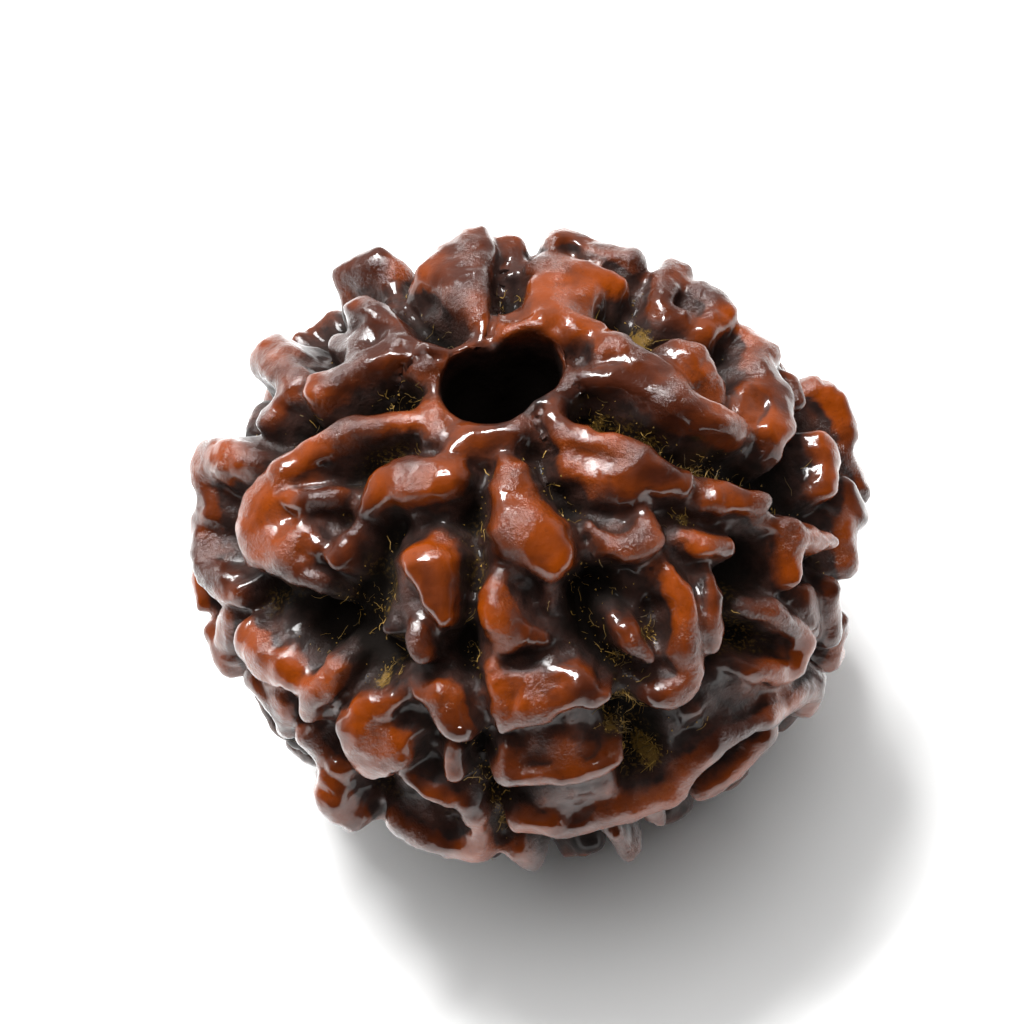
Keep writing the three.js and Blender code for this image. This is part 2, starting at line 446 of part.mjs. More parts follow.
// The outermost point of the bead in a direction, searched from outside and then halved.
function outermost(toward, knobs) {
  const shifted = uneven(toward);
  const floor = carvedFloorRadius(toward);
  const near = knobsNear(shifted, knobs);
  let outside = SEARCH_START;
  while (beadDistance(floor, shifted, outside - SEARCH_STEP, near) > 0) outside -= SEARCH_STEP;
  let inside = outside - SEARCH_STEP;
  for (let i = 0; i < HALVINGS; i += 1) {
    const middle = (outside + inside) / 2;
    if (beadDistance(floor, shifted, middle, near) > 0) outside = middle;
    else inside = middle;
  }
  return inside;
}

function neighboursOf(geometry) {
  const count = geometry.getAttribute("position").count;
  const neighbours = Array.from({ length: count }, () => new Set());
  const corners = geometry.index.array;
  for (let i = 0; i < corners.length; i += 3) {
    const [a, b, c] = [corners[i], corners[i + 1], corners[i + 2]];
    neighbours[a].add(b).add(c);
    neighbours[b].add(c).add(a);
    neighbours[c].add(a).add(b);
  }
  return neighbours;
}

// A ball of triangles whose corners move out to the surface of the bead. The corners then settle
// sideways towards their farthest neighbours, so that walls get as many corners as tops.
function knobblyBall(knobs) {
  const ball = new THREE.IcosahedronGeometry(1, BALL_DETAIL);
  ball.deleteAttribute("normal");
  ball.deleteAttribute("uv");
  const geometry = mergeVertices(ball, 1e-5);
  const corners = geometry.getAttribute("position");
  const neighbours = neighboursOf(geometry);
  const toward = neighbours.map((near, i) => new THREE.Vector3().fromBufferAttribute(corners, i));
  const surface = toward.map((at) => at.clone().multiplyScalar(outermost(at.normalize(), knobs)));
  for (let pass = 0; pass < SETTLING_PASSES; pass += 1) {
    const moved = toward.map((at, i) => {
      const pull = new THREE.Vector3();
      let total = 0;
      for (const j of neighbours[i]) {
        const length = surface[i].distanceTo(surface[j]);
        pull.addScaledVector(toward[j], length);
        total += length;
      }
      return at.clone().lerp(pull.divideScalar(total), SETTLING_SHARE).normalize();
    });
    moved.forEach((at, i) => {
      toward[i].copy(at);
      surface[i].copy(at).multiplyScalar(outermost(at, knobs));
    });
  }
  surface.forEach(({ x, y, z }, i) => corners.setXYZ(i, x, y, z));
  return geometry;
}

// The thread hole as a turned plug, which is cut out of the ball.
function holePlug() {
  const profile = [
    [0, -CUTTER_REACH],
    [HOLE_MOUTH_RADIUS, -CUTTER_REACH],
    [HOLE_MOUTH_RADIUS, -FUNNEL_END],
    [HOLE_RADIUS, -FUNNEL_START],
    [HOLE_RADIUS, FUNNEL_START],
    [HOLE_MOUTH_RADIUS, FUNNEL_END],
    [HOLE_MOUTH_RADIUS, CUTTER_REACH],
    [0, CUTTER_REACH],
  ].map(([r, z]) => new THREE.Vector2(r, z));
  return new THREE.LatheGeometry(profile, HOLE_SIDES).rotateX(Math.PI / 2);
}

// Everything below the foot plane, as a block that is cut away.
function groundBlock() {
  const block = new THREE.BoxGeometry(2 * CUTTER_REACH, 2 * CUTTER_REACH, CUTTER_REACH);
  return block.translate(0, 0, -FOOT_DEPTH - CUTTER_REACH / 2);
}

function solidOf(wasm, geometry) {
  const bare = geometry.clone();
  bare.deleteAttribute("normal");
  bare.deleteAttribute("uv");
  const merged = mergeVertices(bare, 1e-4);
  return new wasm.Manifold(
    new wasm.Mesh({
      numProp: 3,
      vertProperties: merged.getAttribute("position").array,
      triVerts: new Uint32Array(merged.index.array),
    }),
  );
}

function geometryOf(solid) {
  const { vertProperties, triVerts } = solid.getMesh();
  const geometry = new THREE.BufferGeometry();
  geometry.setAttribute("position", new THREE.BufferAttribute(vertProperties, 3));
  geometry.setIndex(new THREE.BufferAttribute(triVerts, 1));
  geometry.translate(0, 0, FOOT_DEPTH);
  geometry.computeVertexNormals();
  return geometry;
}

const wasm = await Module();
wasm.setup();

const bead = solidOf(wasm, knobblyBall(allKnobs()))
  .subtract(solidOf(wasm, holePlug()))
  .subtract(solidOf(wasm, groundBlock()));

const stone = new THREE.Mesh(
  geometryOf(bead),
  new THREE.MeshStandardMaterial({ color: 0x5a2412, roughness: 0.35, metalness: 0 }),
);
stone.name = "bead";

const rudraksha = new THREE.Group();
rudraksha.add(stone);

export default rudraksha;
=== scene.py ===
# %% [markdown]
# # An eight mukhi rudraksha bead
#
# The stony seed of the rudraksha fruit, cleaned, oiled and ready to thread. It is one natural
# piece: a slightly flattened ball with eight straight grooves, the mukhi, that run from pole to
# pole, steep glossy knobs and ridges between them, and a hole through the core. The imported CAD
# model is loaded first. It is the frame that everything else has to fit.

import itertools
import math

import bmesh
import bpy
import numpy as np
from mathutils import Matrix, Vector


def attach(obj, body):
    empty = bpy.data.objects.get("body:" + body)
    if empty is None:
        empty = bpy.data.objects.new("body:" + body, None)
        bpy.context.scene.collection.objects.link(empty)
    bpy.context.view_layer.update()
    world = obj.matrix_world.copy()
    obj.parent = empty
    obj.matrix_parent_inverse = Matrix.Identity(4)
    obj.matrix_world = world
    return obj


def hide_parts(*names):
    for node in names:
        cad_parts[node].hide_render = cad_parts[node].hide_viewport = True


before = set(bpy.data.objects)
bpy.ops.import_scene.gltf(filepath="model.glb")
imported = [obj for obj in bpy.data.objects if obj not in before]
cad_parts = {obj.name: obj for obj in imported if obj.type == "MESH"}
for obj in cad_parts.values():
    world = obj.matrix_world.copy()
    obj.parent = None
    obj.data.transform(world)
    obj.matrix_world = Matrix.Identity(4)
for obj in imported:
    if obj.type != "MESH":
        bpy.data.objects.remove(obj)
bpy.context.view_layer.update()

# %% [markdown]
# ## The camera
#
# The photograph looks down on the bead from 55 degrees above the table, from the front, with the
# bead's axis leaning a little to the left in the picture. A long lens keeps the perspective weak.

# %% The camera's place
MM = 0.001
FOOT_DEPTH = 9.7
BALL_CENTRE = Vector((0.0, 0.0, FOOT_DEPTH * MM))
CAMERA_HEIGHT = math.radians(55.0)
CAMERA_ROLL = math.radians(-10.0)
CAMERA_DISTANCE = 150.0 * MM
IMAGE_SIDE = 1024
PIXELS_PER_MM = 28.3
CENTRE_PIXEL = (530.0, 552.0)
SENSOR = 36.0

back = Vector((0.0, -math.cos(CAMERA_HEIGHT), math.sin(CAMERA_HEIGHT)))
level = Vector((1.0, 0.0, 0.0))
upright = back.cross(level)
right = level * math.cos(CAMERA_ROLL) + upright * math.sin(CAMERA_ROLL)
above = -level * math.sin(CAMERA_ROLL) + upright * math.cos(CAMERA_ROLL)

lens = bpy.data.cameras.new("camera")
lens.sensor_width = SENSOR
lens.lens = PIXELS_PER_MM * CAMERA_DISTANCE / MM * SENSOR / IMAGE_SIDE
lens.shift_x = (IMAGE_SIDE / 2 - CENTRE_PIXEL[0]) / IMAGE_SIDE
lens.shift_y = (CENTRE_PIXEL[1] - IMAGE_SIDE / 2) / IMAGE_SIDE
lens.clip_start = 0.01
camera = bpy.data.objects.new("camera", lens)
bpy.context.scene.collection.objects.link(camera)
turn = Matrix((right, above, back)).transposed().to_4x4()
camera.matrix_world = Matrix.Translation(BALL_CENTRE + back * CAMERA_DISTANCE) @ turn
bpy.context.scene.camera = camera
print("lens in mm:", round(lens.lens, 1))

# %% [markdown]
# ## The bead's numbers
#
# Everything here is in millimetres and degrees, measured from the middle of the ball. Longitude 0
# is the front and grows to the right. Each knob is a path of points: longitude, latitude, half
# width, and height above the floor between the knobs.

# %% The ball, its hole and its grooves
FLOOR_RADIUS = 9.6
FLOOR_HALF_HEIGHT = 8.3
FLOOR_SQUARENESS = 2.3
COLLAR_HEIGHT = 1.7
COLLAR_FULL_RADIUS = 1.8
COLLAR_FADE_RADIUS = 3.2
HOLE_RADIUS = 1.2
HOLE_MOUTH_RADIUS = 1.65
FUNNEL_START = 5.2
FUNNEL_END = 8.4
ROOT_FILLET = 0.5
EDGE_ROUNDING = 0.22
WALL_SLOPE = 0.28
TOP_DOME = 0.2
UNEVEN_OUTLINE = 0.005

# %% The grooves, the swellings of the floor and its pits
GROOVES = [
  [-146, -167, -160],
  [-85, -110, -106],
  [-66, -51, -53],
  [-13, -15, -14],
  [16, 14, 17],
  [57, 69, 64],
  [108, 128, 121],
  [180, 160, 165],
]
GROOVE_DEPTH = 0.9
GROOVE_HALF_WIDTH = 0.5

SWELLINGS = [
  [[-4, 68, 1.1, 1.1], [0, 60, 1.5, 1.2], [0, 50, 1.6, 1.0], [-2, 40, 1.7, 1.0], [-1, 31, 1.8, 1.2]],
  [[-1, 21, 1.7, 1.3], [0, 13, 1.7, 1.1], [2, 6, 1.9, 1.5], [4, -2, 1.6, 1.2]],
  [[42, 68, 1.2, 1.2], [37, 60, 1.6, 1.3], [33, 51, 1.7, 1.1], [27, 41, 1.6, 1.0], [24, 31, 1.5, 1.3]],
  [[22, 13, 1.5, 1.2], [31, 15, 1.3, 1.3], [38, 6, 1.4, 1.2], [47, 5, 1.6, 1.3], [54, 14, 1.4, 1.4]],
  [[-45, 67, 1.1, 1.2], [-33, 52, 1.3, 1.0], [-31, 42, 1.2, 0.8]],
  [[-24, 27, 1.2, 0.9], [-33, 20, 1.3, 0.9], [-28, 2, 1.4, 1.1], [-24, -6, 1.4, 1.1]],
  [[-60, 24, 1.4, 1.1], [-52, 24, 1.2, 0.9]],
  [[-86, 60, 1.0, 1.1], [-86, 48, 1.4, 1.2], [-78, 41, 1.6, 1.3], [-68, 43, 1.2, 1.0]],
  [[-116, 58, 1.2, 1.2], [-127, 62, 1.5, 1.3], [-126, 70, 1.2, 1.2]],
  [[150, 62, 1.5, 1.4], [140, 68, 1.4, 1.3], [116, 69, 1.1, 1.2], [94, 66, 1.0, 1.2], [78, 60, 0.9, 1.0]],
]

PITS = [
  [41, 19.5, 1.0, 1.0],
  [-66, 50, 0.7, 0.5],
]

# %% The knobs
KNOBS = [
  # The collar round the upper mouth.
  [[-88, 76, 0.45, 1.6], [-74, 75, 0.5, 1.8], [-60, 74, 0.5, 1.8]],
  [[-40, 76, 0.4, 1.8], [-22, 77, 0.35, 1.7]],
  [[120, 75, 0.4, 2.0], [136, 77, 0.45, 2.15], [153, 78, 0.45, 2.15], [170, 77.5, 0.4, 1.9]],
  # Between the grooves at -55 and -15.
  [[-59, 57.5, 0.42, 2.0], [-56, 61.5, 0.6, 2.2], [-48, 64.8, 0.75, 2.3], [-38, 67.2, 0.65, 2.2], [-37, 73, 0.4, 1.9]],
  [[-59, 57, 0.3, 1.8], [-58, 54, 0.28, 1.6], [-55.5, 50.5, 0.33, 1.9], [-55, 46, 0.33, 2.1]],
  [[-31, 60, 0.25, 1.1], [-30, 57, 0.32, 1.6]],
  [[-35, 52.5, 0.36, 2.3], [-30, 54, 0.4, 2.3], [-26, 54, 0.36, 2.3]],
  [[-31, 52, 0.55, 2.35], [-26.5, 50, 0.55, 2.4], [-24.3, 46.5, 0.38, 2.4], [-22.7, 44, 0.25, 2.4]],
  [[-38, 50, 0.3, 1.5], [-36.5, 46, 0.35, 1.3], [-32, 42.5, 0.35, 1.3]],
  [[-30, 42, 0.26, 1.7], [-28.5, 39.5, 0.32, 2.1], [-26.5, 37, 0.32, 2.2]],
  [[-37, 41, 0.28, 1.2], [-36.5, 38.5, 0.33, 1.6]],
  [[-45.5, 27, 0.4, 2.0], [-47, 22.5, 0.52, 2.3], [-48, 18, 0.48, 2.3]],
  [[-29.5, 28.5, 0.26, 1.5], [-33, 26, 0.33, 1.9], [-36.5, 22.5, 0.48, 2.3], [-37.5, 18.5, 0.6, 2.4]],
  [[-37.5, 18.5, 0.62, 2.4], [-35.5, 14.8, 0.8, 2.45], [-31.5, 16, 0.6, 2.35]],
  [[-33.5, 19.5, 0.5, 2.1], [-30.5, 18.5, 0.45, 2.15]],
  [[-27, 29, 0.3, 2.0], [-23.5, 29.5, 0.38, 2.1], [-20, 29.5, 0.42, 2.1], [-19, 25.5, 0.48, 2.3]],
  [[-23.5, 28, 0.45, 2.05], [-20.5, 26, 0.5, 2.2]],
  [[-20.5, 18, 0.38, 1.7], [-20, 14, 0.38, 1.9]],
  [[-29, 11, 0.22, 1.9], [-25, 9, 0.27, 2.0], [-20.5, 7.5, 0.27, 2.0]],
  [[-18, 6, 0.28, 2.0], [-17.5, -1, 0.33, 2.1], [-18, -7, 0.35, 2.1]],
  [[-31.5, -2, 0.42, 2.2], [-28, -5, 0.55, 2.3], [-23, -7, 0.6, 2.3], [-19, -6.5, 0.48, 2.2]],
  [[-43, 6, 0.42, 2.2], [-43, 1, 0.5, 2.9], [-40, -3.5, 0.5, 2.8]],
  [[-46, 0, 0.42, 2.1], [-45.5, -5, 0.48, 2.3], [-42, -9, 0.48, 2.2]],
  [[-37, -6, 0.4, 1.6], [-33, -10, 0.4, 1.6]],
  # Between the grooves at -108 and -55.
  [[-79, 71, 0.36, 1.8], [-83, 64.5, 0.36, 2.1], [-85.5, 59, 0.45, 2.3], [-84.5, 53.5, 0.5, 2.35], [-84, 47.5, 0.52, 2.45]],
  [[-84, 47.5, 0.52, 2.45], [-82.5, 42.5, 0.65, 2.5], [-79.5, 38.5, 0.75, 2.55], [-75, 37, 0.75, 2.5]],
  [[-75, 37, 0.75, 2.5], [-70, 38, 0.7, 2.4], [-65, 39.5, 0.55, 2.3], [-60, 39.5, 0.42, 2.1], [-56, 39.5, 0.33, 1.8]],
  [[-80, 42, 0.6, 2.3], [-74, 40.5, 0.6, 2.3], [-69, 41.5, 0.45, 2.2]],
  [[-78, 45, 0.28, 2.2], [-73, 48.5, 0.36, 2.4], [-68, 53, 0.26, 2.0]],
  [[-68, 44, 0.32, 2.2], [-62, 45, 0.36, 2.1]],
  [[-93, 21.5, 0.45, 2.55], [-88, 20, 0.52, 2.65], [-84, 20, 0.52, 2.5], [-79, 22, 0.46, 2.3], [-74, 25, 0.36, 2.1]],
  [[-98, 26, 0.45, 2.75], [-93, 25.5, 0.42, 2.4]],
  [[-90, 12, 0.48, 2.4], [-85, 10, 0.5, 2.45]],
  [[-75, 18, 0.45, 2.1], [-73.5, 13, 0.48, 2.2]],
  [[-78, 9, 0.45, 2.35], [-72.5, 8, 0.5, 2.35]],
  [[-66, 20, 0.6, 2.35], [-60.5, 20.5, 0.75, 2.35], [-55, 21, 0.6, 2.2], [-51, 20.5, 0.4, 1.9]],
  [[-64, 12, 0.45, 2.1], [-59.5, 11.5, 0.45, 2.1]],
  [[-59, 15, 0.4, 1.8], [-56, 12, 0.38, 2.0], [-56, 6, 0.36, 1.9]],
  [[-50, 10, 0.36, 2.0], [-47, 5, 0.36, 1.9]],
  # Between the grooves at -165 and -108.
  [[-119, 63, 0.5, 2.1], [-125, 66.5, 0.6, 2.15], [-127, 71, 0.55, 2.0], [-118, 75, 0.36, 1.7], [-110, 77, 0.28, 1.4]],
  [[-107.5, 54, 0.46, 2.3], [-110, 57.5, 0.46, 2.2], [-114, 60.5, 0.42, 2.0], [-118, 63, 0.4, 2.0]],
  [[-131, 57, 0.4, 1.9], [-124, 58.5, 0.36, 1.9], [-116, 59, 0.36, 2.0]],
  [[-141, 54, 0.46, 2.5], [-137, 61, 0.46, 2.2], [-132, 66, 0.46, 2.0]],
  [[-131, 50, 0.45, 1.6], [-128, 54, 0.4, 1.6]],
  [[-123, 38, 0.8, 2.7], [-118, 43, 0.65, 2.4], [-113, 47, 0.5, 2.0]],
  [[-110, 46, 0.4, 1.9], [-106, 42, 0.44, 2.1]],
  [[-102, 28, 0.8, 2.95], [-100, 33, 0.75, 2.75], [-96, 38, 0.45, 2.1]],
  [[-149, 38, 0.42, 2.75], [-152, 41, 0.45, 2.75], [-155, 44, 0.45, 2.75]],
  [[-156, 46, 0.4, 2.2], [-153, 50, 0.36, 1.4], [-149, 58, 0.32, 1.0]],
  # Between the grooves at 165 and -165.
  [[-176, 77, 0.32, 1.6], [-171, 68, 0.48, 2.1], [-167, 61, 0.5, 2.35], [-164, 57, 0.42, 2.5]],
  [[-176, 77, 0.32, 1.6], [-177, 67, 0.48, 2.2], [-178, 59, 0.62, 2.6], [-179, 53, 0.55, 2.85]],
  [[-171, 63, 0.6, 2.3], [-171, 56, 0.75, 2.7]],
  [[-159, 56, 0.26, 1.7], [-158, 60, 0.26, 1.2]],
  [[171, 52, 0.5, 2.35], [170, 58, 0.42, 1.8]],
  # Between the grooves at 122 and 165.
  [[158, 57, 0.48, 2.2], [149, 58, 0.52, 2.35], [140, 57, 0.52, 2.35], [133, 56, 0.36, 2.2]],
  [[152, 60, 0.7, 2.2], [148, 67, 0.75, 2.15], [140, 73, 0.6, 1.9]],
  [[141, 60, 0.6, 2.1], [138, 66, 0.6, 2.0]],
  [[160, 72, 0.5, 1.8], [148, 71, 0.55, 2.1], [130, 71, 0.46, 2.15], [115, 69, 0.46, 2.15], [103, 68, 0.5, 2.2]],
  [[157, 50, 0.5, 2.6], [150, 50, 0.46, 2.5], [143, 50.5, 0.42, 2.4], [136, 49, 0.42, 2.6]],
  # Between the grooves at 67 and 122.
  [[103, 68, 0.48, 2.2], [95, 66, 0.5, 2.2], [90, 62.5, 0.46, 2.2], [85, 59, 0.42, 2.2]],
  [[76, 79, 0.32, 1.5], [84, 74, 0.32, 1.9], [84, 69, 0.38, 2.15], [81, 63.5, 0.42, 2.3], [77, 58.5, 0.46, 2.4]],
  [[77, 58.5, 0.46, 2.4], [74.5, 53, 0.5, 2.5], [74, 48, 0.46, 2.5], [74, 45, 0.36, 2.3]],
  [[97, 56, 0.46, 2.3], [93, 54, 0.52, 2.4], [88, 51, 0.44, 2.1], [84, 49, 0.36, 1.8]],
  [[127, 43.5, 0.5, 2.5], [124, 48, 0.45, 2.3], [119, 52, 0.36, 2.0]],
  [[114, 53, 0.26, 1.6], [113, 50, 0.28, 2.0]],
  [[118, 43, 0.45, 2.45], [112, 42, 0.5, 2.55], [108, 46, 0.42, 2.1]],
  [[105, 37.5, 0.5, 2.2], [100, 35.5, 0.5, 2.45]],
  [[96, 39, 0.42, 2.3], [89, 37.5, 0.62, 2.4], [82, 37, 0.65, 2.45], [77, 38.5, 0.52, 2.35]],
  [[88, 42, 0.55, 2.1], [82, 43, 0.45, 1.9]],
  [[95, 31, 0.32, 2.2], [91, 30.5, 0.28, 2.2]],
  [[99, 22.5, 0.48, 2.45], [96, 19, 0.58, 2.9], [92, 16.5, 0.5, 2.8]],
  [[84, 25.5, 0.42, 2.3], [80.5, 23, 0.48, 2.35], [76, 23, 0.42, 2.2]],
  [[88, 14, 0.46, 2.5], [84, 10, 0.48, 2.6]],
  [[80, 15.5, 0.42, 2.4], [76.5, 12, 0.48, 2.6]],
  [[73, 14, 0.4, 2.3], [69, 9.5, 0.46, 2.4]],
  # Between the grooves at 14 and 67.
  [[31, 77, 0.36, 1.6], [37, 72.5, 0.36, 2.0], [43, 69, 0.42, 2.25], [45.5, 65, 0.46, 2.35], [48, 60, 0.46, 2.4]],
  [[48, 60, 0.46, 2.4], [50, 55, 0.4, 2.4], [51.5, 51, 0.3, 2.3]],
  [[30, 68, 0.55, 1.8], [36, 64, 0.65, 2.0], [41, 60, 0.65, 2.15], [46, 56, 0.5, 2.25]],
  [[33, 60, 0.5, 1.7], [39, 56.5, 0.5, 1.9]],
  [[21.5, 55, 0.26, 1.7], [23, 51.5, 0.36, 2.05], [28, 49.5, 0.45, 2.2], [33, 49, 0.45, 2.2], [37, 51, 0.36, 1.9]],
  [[41.5, 45, 0.26, 1.7], [42.5, 42, 0.32, 2.0], [45, 40, 0.3, 2.0], [47.5, 38, 0.28, 2.0]],
  [[52, 47, 0.3, 1.8], [54.5, 44.5, 0.46, 2.25], [57, 41, 0.5, 2.35], [58.5, 37.5, 0.36, 2.4]],
  [[59, 33, 0.32, 2.0], [60.5, 28.5, 0.38, 2.35], [63.5, 23.5, 0.32, 2.4], [65.5, 20, 0.24, 2.5]],
  [[60, 29, 0.32, 2.3], [56.5, 27, 0.32, 2.3], [54.3, 24.5, 0.25, 2.4]],
  [[32, 43, 0.25, 1.7], [31.5, 39.5, 0.32, 2.05], [31, 35.5, 0.36, 2.25], [29, 32, 0.36, 2.25], [26.5, 29, 0.34, 2.25]],
  [[26.5, 29, 0.34, 2.25], [26, 25.5, 0.42, 2.35], [22.5, 23.8, 0.46, 2.35], [18.5, 25, 0.4, 2.25]],
  [[40, 37, 0.22, 1.5], [38, 33.5, 0.3, 1.9], [35, 30, 0.32, 2.05], [32, 26.5, 0.32, 1.95]],
  [[16.5, 39.5, 0.22, 1.3], [17.5, 37.5, 0.32, 2.0], [18.5, 35, 0.26, 2.15], [19.3, 32.5, 0.16, 2.2]],
  [[34, 20, 0.27, 1.5], [37, 16.5, 0.3, 1.95], [41, 12, 0.32, 2.15], [45, 9.5, 0.36, 2.25], [48.5, 12, 0.36, 2.25]],
  [[48.5, 12, 0.36, 2.25], [48.5, 17, 0.36, 2.2], [47.5, 22, 0.32, 2.0], [44, 26.5, 0.28, 1.6]],
  [[60.5, 11, 0.45, 2.2], [58, 5, 0.48, 2.2]],
  [[56, 17, 0.4, 1.8], [54, 10, 0.45, 1.9]],
  [[15.5, 1.5, 0.4, 2.2], [20, 4.5, 0.33, 2.2], [25, 7, 0.32, 2.2], [31, 8, 0.32, 2.2], [37.5, 5.5, 0.36, 2.2]],
  [[37.5, 5.5, 0.36, 2.2], [44, 1.5, 0.42, 2.2], [49, -0.5, 0.45, 2.2]],
  [[52, -1, 0.44, 2.2], [47, -5, 0.44, 2.2]],
  [[37, -2, 0.48, 2.0], [30, -5, 0.48, 2.0], [24, -6, 0.42, 1.9]],
  [[62, 0, 0.44, 2.1], [59.5, -6, 0.44, 2.1]],
  # Between the grooves at -15 and 14.
  [[-6, 76, 0.32, 1.6], [-4, 70, 0.5, 2.05], [-2, 66, 0.6, 2.25], [-1, 62, 0.7, 2.4], [1.5, 58, 0.9, 2.5]],
  [[1.5, 58, 0.9, 2.5], [4.5, 54.5, 0.75, 2.5], [4.8, 51, 0.36, 2.3]],
  [[-6.5, 66, 0.4, 2.2], [-7, 60.5, 0.42, 2.3], [-5, 57, 0.5, 2.35]],
  [[4.5, 50, 0.24, 1.6], [3, 45, 0.24, 1.4]],
  [[-10.5, 53, 0.25, 1.6], [-10.5, 48.5, 0.36, 2.1], [-9, 43.5, 0.5, 2.25], [-9, 40, 0.4, 2.0]],
  [[-8.5, 44, 0.5, 2.15], [-5, 42, 0.45, 2.0], [-1, 40.5, 0.3, 1.75]],
  [[-11.5, 35.5, 0.28, 1.9], [-10.5, 31, 0.4, 2.15], [-8.8, 26.8, 0.45, 2.3], [-4.5, 29, 0.48, 2.3]],
  [[-4.5, 29.5, 0.45, 2.3], [0, 30.5, 0.46, 2.35], [4.5, 30.5, 0.46, 2.35], [8.3, 28.5, 0.4, 2.3]],
  [[-6, 33, 0.42, 2.0], [0, 33.5, 0.42, 2.0], [5, 32.8, 0.4, 2.05]],
  [[-9.5, 15, 0.36, 2.2], [-5, 15, 0.4, 2.3], [0, 15.3, 0.4, 2.3], [4.5, 15.2, 0.4, 2.3], [7.4, 15.7, 0.36, 2.3]],
  [[-10, 20, 0.3, 1.8], [-10, 16, 0.33, 2.1]],
  [[-6, 18, 0.6, 1.7], [0, 18.5, 0.7, 1.75], [5, 18, 0.5, 1.6]],
  [[-10, 2, 0.4, 2.1], [-5, 1, 0.42, 2.15], [-1, -0.5, 0.45, 2.15], [4, 1, 0.42, 2.2], [10, 1, 0.42, 2.2]],
  [[10, 1, 0.42, 2.2], [15.5, 1.5, 0.4, 2.2]],
  [[-11.5, -8, 0.42, 2.1], [-9.5, -12, 0.42, 2.1]],
  [[6, -8, 0.28, 1.9], [7.5, -13, 0.28, 2.3]],
  [[13.5, -4, 0.28, 1.9], [14.5, -8, 0.26, 1.9]],
]

FEET = [
  [[-160, -75, 0.6, 2.0], [-163, -68, 0.8, 2.3], [-160, -60, 0.6, 2.2]],
  [[-132, -70, 0.9, 2.3], [-125, -64, 0.7, 2.2]],
  [[-84, -76, 0.5, 1.9], [-80, -69, 0.8, 2.3], [-76, -62, 0.7, 2.2]],
  [[-38, -74, 0.6, 2.0], [-35, -67, 0.9, 2.4], [-42, -60, 0.5, 2.1]],
  [[2, -73, 0.6, 2.1], [-1, -66, 0.8, 2.3]],
  [[30, -71, 0.7, 2.2], [40, -66, 0.8, 2.3], [44, -59, 0.6, 2.1]],
  [[88, -75, 0.6, 2.0], [84, -68, 0.8, 2.3], [90, -61, 0.7, 2.2]],
  [[138, -74, 0.6, 2.0], [143, -67, 0.9, 2.4], [137, -60, 0.6, 2.1]],
]

# %% The knobs that grow by rule, at the back and underneath
READ_MIDDLE = (0, 55)
READ_EDGE = -0.02
RIM_GROWTH = 0.55
FULL_GROWTH = 0.4
GROOVE_SIDE = 1.45
SIDE_SPACING = 2.5
SIDE_CLEARANCE = 1.9
OPEN_TRIES = 2600
OPEN_CLEARANCE = 1.95
LOWEST_GROWN = -76
HIGHEST_GROWN = 62
SEED = 20268

# %% [markdown]
# ## The growth formula
#
# One formula says how far any point is outside or inside the bead. The floor is a rounded ball
# with grooves cut in and a collar round each mouth of the hole. Each knob is a wall along its
# path, with a domed top and rounded edges, and it melts into what it meets.


# %% Directions and the floor
def smoothstep(value, low, high):
    share = np.clip((value - low) / (high - low), 0, 1)
    return share * share * (3 - 2 * share)


def directions(longitudes, latitudes):
    lon, lat = np.radians(longitudes), np.radians(latitudes)
    return np.stack([np.cos(lat) * np.sin(lon), -np.cos(lat) * np.cos(lon), np.sin(lat)], -1)


def floor_radius(toward):
    across = np.hypot(toward[:, 0], toward[:, 1]) / FLOOR_RADIUS
    along = np.abs(toward[:, 2]) / FLOOR_HALF_HEIGHT
    return (across**FLOOR_SQUARENESS + along**FLOOR_SQUARENESS) ** (-1 / FLOOR_SQUARENESS)


def groove_longitude(groove, latitude):
    """The longitude of a groove at latitudes, all in radians."""
    upper, middle, lower = np.radians(groove)
    share = (latitude / (math.pi / 2)) ** 2
    return middle + share * (np.where(latitude > 0, upper, lower) - middle)


def nearest_groove(toward):
    """Distance to the middle line of the nearest groove, in mm along the floor."""
    latitude = np.arcsin(np.clip(toward[:, 2], -1, 1))
    longitude = np.arctan2(toward[:, 0], -toward[:, 1])
    across = np.hypot(toward[:, 0], toward[:, 1]) * FLOOR_RADIUS
    nearest = np.full(len(toward), np.inf)
    for groove in GROOVES:
        aside = longitude - groove_longitude(groove, latitude)
        turned = np.arctan2(np.sin(aside), np.cos(aside))
        nearest = np.minimum(nearest, np.abs(turned) * across)
    return nearest


def swell(path, toward):
    """How far a swelling lifts the floor."""
    at = directions([p[0] for p in path], [p[1] for p in path])
    lift = np.zeros(len(toward))
    for i in range(len(path) - 1):
        along = at[i + 1] - at[i]
        share = np.clip((toward - at[i]) @ along / (along @ along), 0, 1)
        aside = np.linalg.norm(toward - at[i] - share[:, None] * along, axis=1) * FLOOR_RADIUS
        width = path[i][2] + share * (path[i + 1][2] - path[i][2])
        height = path[i][3] + share * (path[i + 1][3] - path[i][3])
        lift = np.maximum(lift, height * np.exp(-((aside / width) ** 4)))
    return lift


